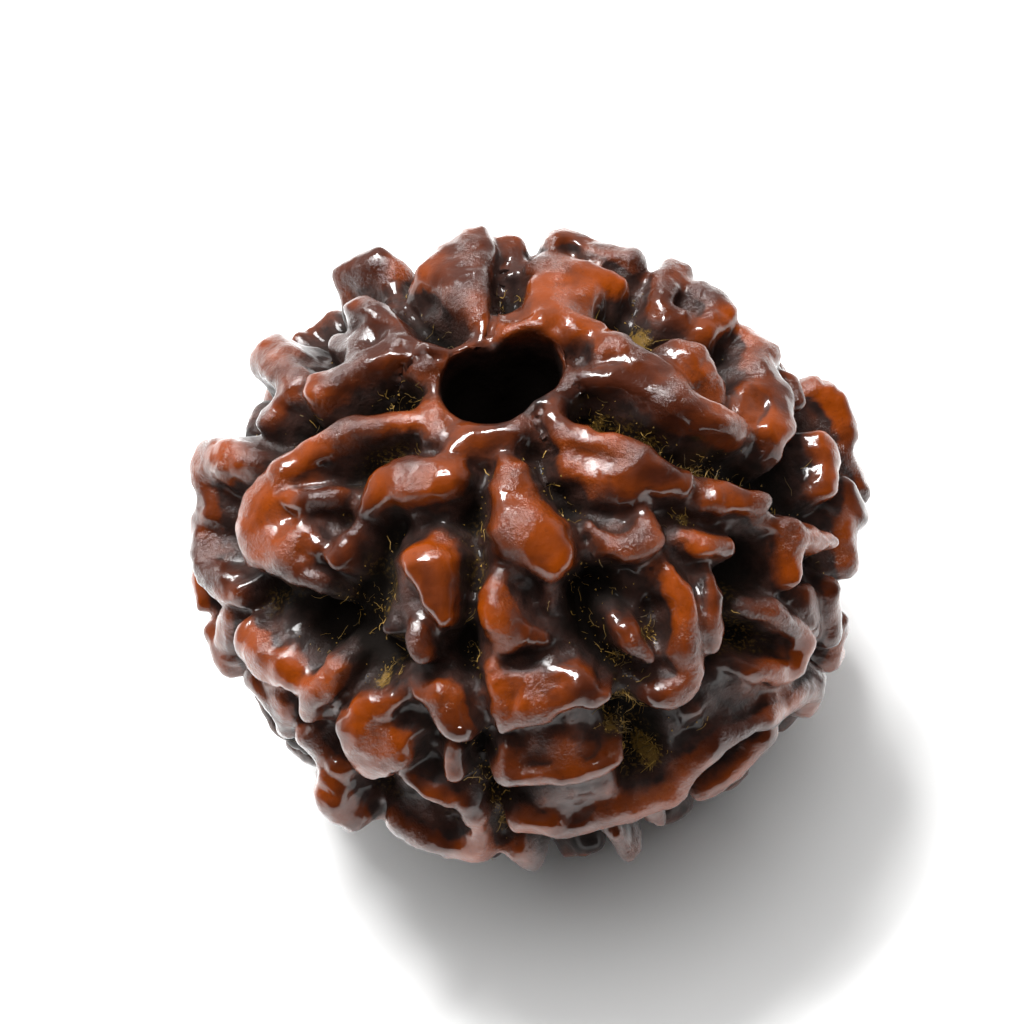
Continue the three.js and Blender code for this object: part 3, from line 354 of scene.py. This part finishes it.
def carved_floor(toward):
    plain = floor_radius(toward)
    from_axis = np.hypot(toward[:, 0], toward[:, 1]) * plain
    aside = nearest_groove(toward) / GROOVE_HALF_WIDTH
    cut = GROOVE_DEPTH * np.exp(-aside * aside) * smoothstep(from_axis, 1.6, 3.2)
    collar = 1 - smoothstep(from_axis, COLLAR_FULL_RADIUS, COLLAR_FADE_RADIUS)
    lift = np.max([swell(path, toward) for path in SWELLINGS], axis=0)
    lift *= 1 - np.exp(-((aside / 1.6) ** 4))
    pit = np.zeros(len(toward))
    for longitude, latitude, radius, depth in PITS:
        away = np.linalg.norm(toward - directions(longitude, latitude), axis=1) * FLOOR_RADIUS
        pit = np.maximum(pit, depth * np.exp(-((away / radius) ** 4)))
    return plain + lift - cut - pit + COLLAR_HEIGHT * collar


# %% Repeatable random values
def random_stream(seed):
    state = seed
    while True:
        state = (state * 16807) % 2147483647
        yield state / 2147483647


def lattice_noise(points, cell, seed):
    """Smooth values from -1 to 1 that change over one cell."""
    place = points / cell
    low = np.floor(place).astype(np.int64)
    part = place - low
    part = part * part * part * (part * (part * 6 - 15) + 10)
    total = np.zeros(len(points))
    for corner in itertools.product((0, 1), repeat=3):
        at = low + np.array(corner)
        mixed = at[:, 0] * 73856093 ^ at[:, 1] * 19349663 ^ at[:, 2] * 83492791 ^ seed * 2654435
        mixed = (mixed ^ (mixed >> 13)) * 1274126177 & 0xFFFFFFFF
        value = ((mixed ^ (mixed >> 16)) & 0xFFFF) / 32767.5 - 1
        total += np.prod(np.where(corner, part, 1 - part), axis=1) * value
    return total


def noise_vectors(points, cell, seed):
    return np.stack([lattice_noise(points, cell, seed + 7 * k) for k in range(3)], -1)


# %% The mouth's uneven edge and the cracks beside it
MOUTH = [
    (-180, 1.5),
    (-135, 2.1),
    (-90, 2.0),
    (-45, 1.65),
    (0, 1.5),
    (45, 1.35),
    (90, 2.0),
    (115, 2.4),
    (145, 2.2),
    (180, 1.5),
]
CRACKS = [
    [(172, 57), (173.5, 63), (176, 70), (180, 78)],
    [(-129, 77), (-124, 74), (-117, 69.5), (-109, 66)],
    [(40, 80), (32, 78.5), (28, 75), (26, 72)],
    [(81, 77), (73, 73), (66, 70), (60, 65)],
]
CRACK_HALF_WIDTH = 0.08
CRACK_DEPTH = 0.55


def mouth_radius(points):
    """The radius of the hole's open end, which differs from side to side."""
    longitude = np.degrees(np.arctan2(points[:, 0], -points[:, 1]))
    uneven_radius = np.interp(longitude, [m[0] for m in MOUTH], [m[1] for m in MOUTH])
    return np.where(points[:, 2] > 0, uneven_radius, HOLE_MOUTH_RADIUS)


def crack_depth(toward):
    depth = np.zeros(len(toward))
    for crack in CRACKS:
        at = directions([c[0] for c in crack], [c[1] for c in crack])
        for start, end in zip(at, at[1:]):
            along = end - start
            share = np.clip((toward - start) @ along / (along @ along), 0, 1)
            aside = np.linalg.norm(toward - start - share[:, None] * along, axis=1)
            depth = np.maximum(depth, np.exp(-((aside * FLOOR_RADIUS / CRACK_HALF_WIDTH) ** 2)))
    return CRACK_DEPTH * depth


# %% Uneven outlines
WARP_LARGE = 0.1
WARP_SMALL = 0.09


def uneven(toward):
    """Directions with the gentle sideways shift that makes every outline uneven."""
    x, y, z = toward.T
    shifted = toward + UNEVEN_OUTLINE * np.stack(
        [
            np.sin(21 * y + 5 * z + 0.7),
            np.sin(19 * z + 6 * x + 2.1),
            np.sin(23 * x + 4 * y + 4.4),
        ],
        -1,
    )
    on_ball = toward * FLOOR_RADIUS
    shifted += WARP_LARGE / FLOOR_RADIUS * noise_vectors(on_ball, 1.1, 11)
    shifted += WARP_SMALL / FLOOR_RADIUS * noise_vectors(on_ball, 0.45, 47)
    return shifted / np.linalg.norm(shifted, axis=1, keepdims=True)


# %% The knobs as walls on paths
def rounded_path(path):
    """The path's points with one more between each two, on a smooth curve through them."""
    points = np.array(path, float)
    at = directions(points[:, 0], points[:, 1])
    rows = np.hstack([at, points[:, 2:]])
    if len(rows) == 2:
        return rows
    ends = np.vstack([2 * rows[0] - rows[1], rows, 2 * rows[-1] - rows[-2]])
    middles = (9 * (rows[:-1] + rows[1:]) - ends[:-3] - ends[3:]) / 16
    smooth = np.empty((2 * len(rows) - 1, 5))
    smooth[0::2] = rows
    smooth[1::2] = middles
    smooth[:, :3] /= np.linalg.norm(smooth[:, :3], axis=1, keepdims=True)
    return smooth


class Knob:
    def __init__(self, path):
        self.rows = rounded_path(path)
        middle = self.rows[:, :3].sum(0)
        self.middle = middle / np.linalg.norm(middle)
        reach = np.linalg.norm(self.rows[:, :3] - self.middle, axis=1).max()
        self.reach = reach + (self.rows[:, 3].max() + 1.6) / FLOOR_RADIUS

    def distance(self, toward, radius, floor):
        """Signed distance from this knob's wall, which has a domed top and rounded edges."""
        nearest = np.full(len(toward), np.inf)
        for start, end in zip(self.rows, self.rows[1:]):
            along = end[:3] - start[:3]
            share = np.clip((toward - start[:3]) @ along / (along @ along), 0, 1)
            centre = start[:3] + share[:, None] * along
            centre /= np.linalg.norm(centre, axis=1, keepdims=True)
            aside = np.linalg.norm(toward - centre, axis=1) * radius
            half_width = start[3] + share * (end[3] - start[3])
            height = start[4] + share * (end[4] - start[4])
            rounding = np.minimum(EDGE_ROUNDING, half_width)
            sag = TOP_DOME * half_width * np.minimum(aside / half_width, 1) ** 2
            top = floor + height - sag
            out_x = aside - half_width - WALL_SLOPE * np.maximum(top - radius, 0) + rounding
            out_y = radius - top + rounding
            outside = np.hypot(np.maximum(out_x, 0), np.maximum(out_y, 0))
            inside = np.minimum(np.maximum(out_x, out_y), 0)
            nearest = np.minimum(nearest, outside + inside - rounding)
        return nearest


def blend(a, b, fillet):
    overlap = np.maximum(fillet - np.abs(a - b), 0) / fillet
    return np.minimum(a, b) - overlap * overlap * fillet / 4


# %% The whole bead's formula
FLOOR_ROUGHNESS = 0.22
FLOOR_GRIT = 0.1
TOP_ROUGHNESS = 0.11
TOP_GRIT = 0.035


def bead_distance(points, knobs, with_hole=True):
    """Below zero inside the bead. Points are in mm from the middle of the ball."""
    radius = np.linalg.norm(points, axis=1)
    toward = points / radius[:, None]
    floor = floor_radius(toward)
    distance = radius - carved_floor(toward)
    distance += FLOOR_ROUGHNESS * lattice_noise(points, 1.1, 5)
    distance += FLOOR_GRIT * lattice_noise(points, 0.42, 17)
    shifted = uneven(toward)
    for knob in knobs:
        near = np.flatnonzero(shifted @ knob.middle > 1 - knob.reach**2 / 2)
        if len(near):
            wall = knob.distance(shifted[near], radius[near], floor[near])
            distance[near] = blend(distance[near], wall, ROOT_FILLET)
    distance += TOP_ROUGHNESS * lattice_noise(points, 0.9, 23)
    distance += TOP_GRIT * lattice_noise(points, 0.38, 71)
    distance += crack_depth(shifted)
    if with_hole:
        from_axis = np.hypot(points[:, 0], points[:, 1])
        funnel = smoothstep(np.abs(points[:, 2]), FUNNEL_START, FUNNEL_END)
        wall = HOLE_RADIUS + (mouth_radius(points) - HOLE_RADIUS) * funnel
        wall += 0.12 * lattice_noise(points, 1.3, 91)
        distance = -blend(-distance, from_axis - wall, 0.35)
    return distance


# %% All the knobs
def step_from(longitude, latitude, length, heading):
    """A place beside another: so many mm towards a heading, 0 for north and growing eastwards."""
    north = math.degrees(length * math.cos(heading) / FLOOR_RADIUS)
    east = math.degrees(length * math.sin(heading) / FLOOR_RADIUS)
    return longitude + east / max(math.cos(math.radians(latitude)), 0.15), latitude + north


def mixed(low, high, share):
    return low + (high - low) * share


def ridge_at(longitude, latitude, heading, draw):
    """A bent ridge of three points round a place."""
    bend = heading + math.pi * mixed(0.7, 1.3, next(draw))
    size = next(draw)
    length = mixed(0.5, 1.25, size)
    start = step_from(longitude, latitude, length, heading)
    end = step_from(longitude, latitude, length, bend)
    return [
        [*start, mixed(0.35, 0.6, next(draw)), mixed(1.7, 2.4, next(draw))],
        [longitude, latitude, mixed(0.45, 0.75, next(draw)), mixed(2.0, 2.6, next(draw))],
        [*end, mixed(0.35, 0.6, next(draw)), mixed(1.6, 2.4, next(draw))],
    ]


def all_paths():
    draw = random_stream(SEED)
    paths = KNOBS + FEET
    taken = [directions(p[0], p[1]) for path in paths for p in path]
    read_middle = directions(*READ_MIDDLE)

    def grow(longitude, latitude, heading, clearance):
        ridge = ridge_at(longitude, latitude, heading, draw)
        places = [directions(p[0], p[1]) for p in ridge]
        for index, place in enumerate(places):
            room = clearance if index == 1 else 0.75 * clearance
            groove = nearest_groove(place[None])[0]
            if place @ read_middle >= READ_EDGE:
                return
            if groove <= GROOVE_HALF_WIDTH + 0.5 * ridge[index][2] + 0.2:
                return
            if min(np.linalg.norm(np.array(taken) - place, axis=1)) * FLOOR_RADIUS <= room:
                return
        hidden = smoothstep(-places[1] @ read_middle, 0, FULL_GROWTH)
        for point in ridge:
            point[3] *= mixed(RIM_GROWTH, 1, hidden)
        paths.append(ridge)
        taken.extend(places)

    step = math.degrees(SIDE_SPACING / FLOOR_RADIUS)
    aside = math.degrees(GROOVE_SIDE / FLOOR_RADIUS)
    for groove in GROOVES:
        for side in (-1, 1):
            latitude = LOWEST_GROWN
            while latitude < HIGHEST_GROWN:
                middle = math.degrees(groove_longitude(groove, math.radians(latitude)))
                longitude = middle + side * aside / max(math.cos(math.radians(latitude)), 0.15)
                grow(longitude, latitude, mixed(-0.5, 0.5, next(draw)), SIDE_CLEARANCE)
                latitude += step
    for _ in range(OPEN_TRIES):
        longitude = 360 * next(draw) - 180
        latitude = math.degrees(math.asin(mixed(-0.97, 0.85, next(draw))))
        grow(longitude, latitude, 2 * math.pi * next(draw), OPEN_CLEARANCE)
    return paths


knobs = [Knob(path) for path in all_paths()]
print("knobs and ridges:", len(knobs))

# %% [markdown]
# ## The bead
#
# A ball is made with the primitive and each corner moves straight out to the formula's surface.
# The hole is drilled with a cylinder, the whole is remeshed evenly, and the corners then slide
# onto the surface along its slope, so that steep walls are as finely divided as flat tops.

# %% A ball pushed out to the knobs
SEARCH_START = 13.6
SEARCH_STEP = 0.2
HALVINGS = 6
VOXEL = 0.12
FINAL_TRIANGLES = 195000


def read_points(mesh):
    flat = np.empty(3 * len(mesh.vertices))
    mesh.vertices.foreach_get("co", flat)
    return flat.reshape(-1, 3)


def write_points(mesh, points):
    mesh.vertices.foreach_set("co", points.ravel())
    mesh.update()


def apply_modifier(piece, kind, **settings):
    bpy.context.view_layer.objects.active = piece
    piece.select_set(True)
    modifier = piece.modifiers.new(kind.lower(), kind)
    for name, value in settings.items():
        setattr(modifier, name, value)
    bpy.ops.object.modifier_apply(modifier=modifier.name)


bpy.ops.object.select_all(action="DESELECT")
bpy.ops.mesh.primitive_ico_sphere_add(subdivisions=7, radius=1.0)
bead = bpy.context.object
bead.name = "bead_stone"
toward = read_points(bead.data)
toward /= np.linalg.norm(toward, axis=1, keepdims=True)
outside = np.full(len(toward), SEARCH_START)
searching = np.arange(len(toward))
while len(searching):
    inner = outside[searching] - SEARCH_STEP
    still_out = bead_distance(toward[searching] * inner[:, None], knobs, with_hole=False) > 0
    searching = searching[still_out]
    outside[searching] -= SEARCH_STEP
inside = outside - SEARCH_STEP
for _ in range(HALVINGS):
    middle = (outside + inside) / 2
    is_out = bead_distance(toward * middle[:, None], knobs, with_hole=False) > 0
    outside = np.where(is_out, middle, outside)
    inside = np.where(is_out, inside, middle)
write_points(bead.data, toward * inside[:, None])
print("ball corners:", len(toward), "farthest:", round(inside.max(), 2))

# %% The hole, and an even mesh
bpy.ops.object.select_all(action="DESELECT")
bpy.ops.mesh.primitive_cylinder_add(vertices=48, radius=HOLE_RADIUS, depth=30)
drill = bpy.context.object
apply_modifier(bead, "BOOLEAN", operation="DIFFERENCE", object=drill, solver="EXACT")
bpy.data.objects.remove(drill, do_unlink=True)
print("drilled:", len(bead.data.polygons), "faces")


def slide_to_surface(piece, steps):
    """Moves each corner onto the formula's surface, straight down the slope of the distance."""
    points = read_points(piece.data)
    small = 0.02
    for _ in range(steps):
        here = bead_distance(points, knobs)
        slope = np.empty_like(points)
        for axis in range(3):
            ahead = points.copy()
            ahead[:, axis] += small
            slope[:, axis] = (bead_distance(ahead, knobs) - here) / small
        steep = np.maximum((slope * slope).sum(1), 0.25)
        step = slope * (here / steep)[:, None]
        length = np.linalg.norm(step, axis=1, keepdims=True)
        points -= step * np.minimum(1, 0.25 / np.maximum(length, 1e-9))
    write_points(piece.data, points)
    print("left over in mm:", round(float(np.abs(bead_distance(points, knobs)).mean()), 4))


for voxel, steps in ((VOXEL * 1.5, 2), (VOXEL, 3)):
    apply_modifier(bead, "REMESH", mode="VOXEL", voxel_size=voxel, adaptivity=0.0)
    print("remeshed:", len(bead.data.vertices), "corners")
    slide_to_surface(bead, steps)

# %% Fewer faces where the surface is plain
triangles = sum(len(face.vertices) - 2 for face in bead.data.polygons)
if triangles > FINAL_TRIANGLES:
    apply_modifier(bead, "DECIMATE", ratio=FINAL_TRIANGLES / triangles)
triangles = sum(len(face.vertices) - 2 for face in bead.data.polygons)
print("triangles:", triangles)

# %% The foot, and the bead in metres in the CAD frame
points = read_points(bead.data)
points[:, 2] = np.maximum(points[:, 2], -FOOT_DEPTH)
write_points(bead.data, (points + (0, 0, FOOT_DEPTH)) * MM)
bpy.ops.object.select_all(action="DESELECT")
bead.select_set(True)
bpy.context.view_layer.objects.active = bead
bpy.ops.object.shade_smooth()
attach(bead, "root")
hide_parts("bead")


# %% Where golden dust lies: longitude, latitude, radius in mm, strength
DUST_PLACES = [
    (113, 57.5, 0.6, 1.0),
    (130, 50, 0.6, 0.9),
    (133, 54, 0.5, 0.6),
    (124, 48, 0.5, 0.6),
    (-155, 50, 0.6, 0.6),
    (-103, 66, 0.5, 0.5),
    (67, 69, 0.4, 0.8),
    (61, 65, 0.4, 0.8),
    (64, 58, 0.4, 0.7),
    (60, 46.5, 0.65, 1.0),
    (62, 43, 0.4, 0.8),
    (47, 46, 0.5, 0.7),
    (22.5, 34, 0.35, 0.9),
    (14.5, 31, 0.4, 0.6),
    (13.5, 23.5, 0.45, 0.8),
    (9, 17.5, 0.5, 1.0),
    (9.5, 14.5, 0.4, 0.9),
    (26, 12, 0.45, 0.9),
    (15.5, 7, 0.5, 0.9),
    (-15, -4, 0.45, 0.9),
    (-15.5, 3, 0.4, 0.8),
    (-16, 10, 0.4, 0.5),
    (-17, 35, 0.35, 0.4),
    (-36, 27, 0.4, 0.9),
    (-32, 29, 0.35, 0.7),
    (-43, 38, 0.5, 0.5),
    (-73, 20, 0.6, 0.5),
]

# %% How high, how steep and how worn each place is
def write_attribute(mesh, name, values):
    mesh.attributes.new(name, "FLOAT", "POINT").data.foreach_set("value", values)


def spread(values, edges, passes):
    """Each corner's value averaged with its neighbours', over and over."""
    counts = np.bincount(edges.ravel(), minlength=len(values))
    for _ in range(passes):
        total = np.bincount(edges[:, 0], values[edges[:, 1]], len(values))
        total += np.bincount(edges[:, 1], values[edges[:, 0]], len(values))
        values = 0.5 * values + 0.5 * total / np.maximum(counts, 1)
    return values


heights = np.linalg.norm(points, axis=1)
toward = points / heights[:, None]
rise = heights - floor_radius(toward)
edges = np.empty(2 * len(bead.data.edges), np.int32)
bead.data.edges.foreach_get("vertices", edges)
edges = edges.reshape(-1, 2)
normals = np.empty(3 * len(points), np.float32)
bead.data.vertices.foreach_get("normal", normals)
facing = (normals.reshape(-1, 3) * toward).sum(1)
passes = 90
crest = rise - spread(rise, edges, passes)
write_attribute(bead.data, "rise", rise)
write_attribute(bead.data, "crest", crest)
write_attribute(bead.data, "facing", facing)
write_attribute(bead.data, "off_axis", np.hypot(points[:, 0], points[:, 1]))
dust = np.zeros(len(points))
for longitude, latitude, radius, strength in DUST_PLACES:
    away = np.linalg.norm(toward - directions(longitude, latitude), axis=1) * FLOOR_RADIUS
    dust = np.maximum(dust, strength * np.exp(-((away / radius) ** 2)))
dust *= 1 - smoothstep(rise, 0.9, 1.7)
write_attribute(bead.data, "dust", dust)
print("rise:", np.percentile(rise, [1, 25, 50, 75, 99]).round(2))
print("crest:", np.percentile(crest, [1, 25, 50, 75, 99]).round(2))

# %% [markdown]
# ## The stone's look
#
# The tops are glossy red-brown, oiled and worn. The flanks are duller and greyer, and the floor
# between the knobs is nearly black, with dry golden dust caught in it.


# %% A short way to make nodes
def add_node(tree, kind, sockets=None, **settings):
    """A node with its settings. Each socket gets a value, or a link from another socket."""
    made = tree.nodes.new(kind)
    for name, value in settings.items():
        setattr(made, name, value)
    for name, value in (sockets or {}).items():
        if isinstance(value, bpy.types.NodeSocket):
            tree.links.new(value, made.inputs[name])
        else:
            made.inputs[name].default_value = value
    return made


def attribute(tree, name):
    return add_node(tree, "ShaderNodeAttribute", attribute_name=name).outputs["Fac"]


def maths(tree, operation, first, second=0.0):
    return add_node(tree, "ShaderNodeMath", {0: first, 1: second}, operation=operation).outputs[0]


def ramped(tree, value, low, high):
    """From 0 at the low value to 1 at the high one, smoothly."""
    sockets = {"Value": value, "From Min": low, "From Max": high}
    return add_node(tree, "ShaderNodeMapRange", sockets, interpolation_type="SMOOTHSTEP").outputs[0]


def noise(tree, cell, detail=2.0, roughness=0.5):
    """Noise from 0 to 1 that changes over so many mm."""
    place = add_node(tree, "ShaderNodeTexCoord").outputs["Object"]
    sockets = {"Vector": place, "Scale": 1 / (cell * MM), "Detail": detail, "Roughness": roughness}
    return add_node(tree, "ShaderNodeTexNoise", sockets).outputs["Fac"]


def mixed_colour(tree, share, first, second, blend_type="MIX"):
    made = add_node(tree, "ShaderNodeMix", data_type="RGBA", blend_type=blend_type)
    for index, value in ((0, share), (6, first), (7, second)):
        if isinstance(value, bpy.types.NodeSocket):
            tree.links.new(value, made.inputs[index])
        else:
            made.inputs[index].default_value = value
    return made.outputs[2]


# %% The stone
TOP_DARK = (0.042, 0.009, 0.0035, 1)
TOP_LIGHT = (0.20, 0.034, 0.001, 1)
FLANK_DARK = (0.013, 0.007, 0.006, 1)
FLANK_LIGHT = (0.036, 0.015, 0.011, 1)
VALLEY = (0.0065, 0.0045, 0.0035, 1)
DUST = (0.15, 0.085, 0.016, 1)

stone = bpy.data.materials.new("stone")
stone.use_nodes = True
tree = stone.node_tree
shader = tree.nodes["Principled BSDF"]
rise_value = attribute(tree, "rise")
crest_value = attribute(tree, "crest")
facing_value = attribute(tree, "facing")

broad = noise(tree, 2.6, 3)
medium = noise(tree, 0.8, 4, 0.6)
fine = noise(tree, 0.14, 4, 0.65)
uneven_rise = maths(tree, "ADD", rise_value, maths(tree, "MULTIPLY", maths(tree, "SUBTRACT", medium, 0.5), 0.9))
uneven_crest = maths(tree, "ADD", crest_value, maths(tree, "MULTIPLY", maths(tree, "SUBTRACT", medium, 0.5), 0.25))

high = ramped(tree, uneven_rise, 1.2, 2.0)
convex = ramped(tree, uneven_crest, -0.02, 0.12)
flat = ramped(tree, facing_value, 0.35, 0.85)
worn = maths(tree, "MULTIPLY", high, maths(tree, "MAXIMUM", convex, maths(tree, "MULTIPLY", flat, 0.75)))
off_mouth = ramped(tree, maths(tree, "ADD", attribute(tree, "off_axis"), maths(tree, "MULTIPLY", medium, 0.8)), 1.9, 2.4)
worn = maths(tree, "MULTIPLY", worn, off_mouth)
deep = maths(tree, "SUBTRACT", 1.0, ramped(tree, uneven_rise, 0.3, 1.5))

top = mixed_colour(tree, ramped(tree, broad, 0.35, 0.7), TOP_DARK, TOP_LIGHT)
top = mixed_colour(tree, maths(tree, "MULTIPLY", ramped(tree, fine, 0.55, 0.75), 0.45), top, TOP_DARK)
flank = mixed_colour(tree, ramped(tree, medium, 0.3, 0.7), FLANK_DARK, FLANK_LIGHT)
colour = mixed_colour(tree, worn, flank, top)
colour = mixed_colour(tree, deep, colour, VALLEY)
dusty = maths(tree, "MULTIPLY", ramped(tree, noise(tree, 3.0, 2), 0.52, 0.66), ramped(tree, fine, 0.5, 0.62))
dusty = maths(tree, "MULTIPLY", dusty, deep)
heaped = ramped(tree, maths(tree, "ADD", attribute(tree, "dust"), maths(tree, "MULTIPLY", fine, 1.6)), 1.25, 1.6)
outside_hole = ramped(tree, attribute(tree, "off_axis"), 2.3, 2.8)
dusty = maths(tree, "MULTIPLY", maths(tree, "MAXIMUM", dusty, heaped), outside_hole)
colour = mixed_colour(tree, maths(tree, "MULTIPLY", dusty, 0.8), colour, DUST)

bumps = add_node(tree, "ShaderNodeBump", {"Height": medium, "Strength": 0.5, "Distance": 0.15 * MM})
peel = maths(tree, "MULTIPLY", fine, ramped(tree, noise(tree, 1.6, 2), 0.42, 0.6))
small_bumps = add_node(
    tree,
    "ShaderNodeBump",
    {"Height": peel, "Strength": 0.9, "Distance": 0.06 * MM, "Normal": bumps.outputs["Normal"]},
)
oil_bumps = add_node(tree, "ShaderNodeBump", {"Height": peel, "Strength": 1.0, "Distance": 0.07 * MM})
roughness = add_node(tree, "ShaderNodeMix", {0: worn, 2: 0.5, 3: 0.3}, data_type="FLOAT").outputs[0]
roughness = add_node(tree, "ShaderNodeMix", {0: deep, 2: roughness, 3: 0.9}, data_type="FLOAT").outputs[0]
oiled = maths(tree, "ADD", maths(tree, "MULTIPLY", worn, 0.5), 0.5)
oiled = maths(tree, "MULTIPLY", oiled, maths(tree, "SUBTRACT", 1.0, deep))
tree.links.new(colour, shader.inputs["Base Color"])
tree.links.new(roughness, shader.inputs["Roughness"])
tree.links.new(small_bumps.outputs["Normal"], shader.inputs["Normal"])
tree.links.new(oil_bumps.outputs["Normal"], shader.inputs["Coat Normal"])
tree.links.new(oiled, shader.inputs["Coat Weight"])
shader.inputs["Coat Roughness"].default_value = 0.06
shader.inputs["Specular IOR Level"].default_value = 0.12
bead.data.materials.clear()
bead.data.materials.append(stone)

# %% [markdown]
# ## Dry fibres and grains
#
# Short golden fibres and grains of dried pulp stay caught in the grooves and in the corners. They
# are one extra mesh of thin closed tubes and tiny four-sided grains.

# %% Fibres and grains
FIBRES = 1100
GRAINS = 1900
FIBRE_RINGS = 5
generator = np.random.default_rng(8)
side_normals = normals.reshape(-1, 3)
valley = 1 - smoothstep(rise, 0.8, 1.6)
beside_groove = np.exp(-((nearest_groove(toward) / 0.7) ** 2))
clear_of_hole = np.hypot(points[:, 0], points[:, 1]) > 2.6
likely = valley * (0.006 + dust + 0.08 * beside_groove) * (points[:, 2] > -7) * clear_of_hole


def pick(count, weights):
    return generator.choice(len(points), count, p=weights / weights.sum())


def unit(rows):
    return rows / np.maximum(np.linalg.norm(rows, axis=-1, keepdims=True), 1e-9)


roots = pick(FIBRES, likely)
up = side_normals[roots]
heading = unit(np.cross(up, generator.normal(size=up.shape)))
step = generator.uniform(0.06, 0.19, (FIBRES, 1))
thickness = generator.uniform(0.009, 0.02, (FIBRES, 1))
centre = points[roots] + 0.03 * up
corners = []
for ring in range(FIBRE_RINGS):
    aside = unit(np.cross(heading, up))
    taper = thickness * (1 - 0.16 * ring)
    for turn in range(3):
        angle = 2 * math.pi * turn / 3
        corners.append(centre + taper * (math.cos(angle) * aside + math.sin(angle) * up))
    heading = unit(heading + 0.45 * generator.normal(size=up.shape) + 0.1 * up)
    centre = centre + step * heading
fibre_corners = np.stack(corners, 1).reshape(-1, 3)
one_fibre = [(2, 1, 0), (3 * FIBRE_RINGS - 3, 3 * FIBRE_RINGS - 2, 3 * FIBRE_RINGS - 1)]
for ring in range(FIBRE_RINGS - 1):
    for turn in range(3):
        this, other = 3 * ring + turn, 3 * ring + (turn + 1) % 3
        one_fibre.append((this, other, other + 3, this + 3))

roots_of_grains = pick(GRAINS, likely)
size = generator.uniform(0.015, 0.05, (GRAINS, 1, 1)) * generator.uniform(0.4, 1.6, (GRAINS, 4, 1))
spikes = np.array([[1, 1, 1], [1, -1, -1], [-1, 1, -1], [-1, -1, 1]]) / math.sqrt(3)
grain_corners = points[roots_of_grains][:, None] + 0.02 * side_normals[roots_of_grains][:, None]
grain_corners = (grain_corners + spikes * size).reshape(-1, 3)
one_grain = [(0, 2, 1), (0, 1, 3), (0, 3, 2), (1, 2, 3)]

faces = [
    tuple(3 * FIBRE_RINGS * fibre + corner for corner in face)
    for fibre in range(FIBRES)
    for face in one_fibre
]
first = len(fibre_corners)
faces += [
    tuple(first + 4 * grain + corner for corner in face) for grain in range(GRAINS) for face in one_grain
]
all_corners = np.vstack([fibre_corners, grain_corners])
fibre_mesh = bpy.data.meshes.new("bead_fibres")
fibre_mesh.from_pydata(((all_corners + (0, 0, FOOT_DEPTH)) * MM).tolist(), [], faces)
fibre_mesh.update()
tones = np.concatenate(
    [
        np.repeat(generator.uniform(0, 1, FIBRES), 3 * FIBRE_RINGS),
        np.repeat(generator.uniform(0.2, 1, GRAINS), 4),
    ]
)
write_attribute(fibre_mesh, "tone", tones)
fibres = bpy.data.objects.new("bead_fibres", fibre_mesh)
bpy.context.scene.collection.objects.link(fibres)
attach(fibres, "root")

dry = bpy.data.materials.new("dry_fibre")
dry.use_nodes = True
tree = dry.node_tree
shader = tree.nodes["Principled BSDF"]
dark_gold, gold = (0.05, 0.03, 0.008, 1), (0.42, 0.25, 0.05, 1)
tree.links.new(mixed_colour(tree, attribute(tree, "tone"), dark_gold, gold), shader.inputs["Base Color"])
shader.inputs["Roughness"].default_value = 0.55
fibre_mesh.materials.append(dry)
print("fibre faces:", len(faces))

# %% [markdown]
# ## Floor and light
#
# A white floor without an edge. Two panes of light stand above and behind the bead, one wide and
# one narrow, and give the oily tops their broken highlights. A large weak ceiling, which leaves no
# highlight of its own, softens the shadow. Bright surroundings low down put a pale sheen on the
# flanks.

# %% The floor
bpy.ops.object.select_all(action="DESELECT")
bpy.ops.mesh.primitive_plane_add(size=3.0, location=(0, 0, 0))
floor = bpy.context.object
floor.name = "floor"
paper = bpy.data.materials.new("paper")
paper.use_nodes = True
paper.node_tree.nodes["Principled BSDF"].inputs["Base Color"].default_value = (0.92, 0.92, 0.915, 1)
paper.node_tree.nodes["Principled BSDF"].inputs["Roughness"].default_value = 0.9
paper.node_tree.nodes["Principled BSDF"].inputs["Specular IOR Level"].default_value = 0.1
floor.data.materials.append(paper)


# %% The lights
def soft_box(name, place, size, power, colour=(1, 1, 1)):
    light = bpy.data.lights.new(name, "AREA")
    light.shape = "RECTANGLE"
    light.size, light.size_y = size
    light.energy = power
    light.color = colour
    lamp = bpy.data.objects.new(name, light)
    bpy.context.scene.collection.objects.link(lamp)
    lamp.location = Vector(place)
    lamp.rotation_euler = (BALL_CENTRE - Vector(place)).to_track_quat("-Z", "Y").to_euler()
    return lamp


soft_box("wide pane", (-0.12, 0.18, 0.44), (0.13, 0.15), 3.0)
soft_box("narrow pane", (-0.01, 0.19, 0.44), (0.05, 0.15), 1.15)
ceiling = soft_box("ceiling", (-0.04, 0.06, 0.50), (0.90, 0.90), 4.4)
ceiling.visible_glossy = False

# %% Bright surroundings with a dark room behind the camera
DARK_SIDE = (0.0, -0.57, 0.82)
world = bpy.context.scene.world or bpy.data.worlds.new("world")
bpy.context.scene.world = world
world.use_nodes = True
sky = world.node_tree
toward_dark = add_node(sky, "ShaderNodeVectorMath", operation="DOT_PRODUCT")
sky.links.new(add_node(sky, "ShaderNodeTexCoord").outputs["Generated"], toward_dark.inputs[0])
toward_dark.inputs[1].default_value = DARK_SIDE
darkness = ramped(sky, toward_dark.outputs["Value"], -0.1, 0.6)
brightness = maths(sky, "SUBTRACT", 0.5, maths(sky, "MULTIPLY", darkness, 0.48))
sky.nodes["Background"].inputs["Color"].default_value = (1, 1, 1, 1)
sky.links.new(brightness, sky.nodes["Background"].inputs["Strength"])
bpy.context.scene.view_settings.view_transform = "Standard"
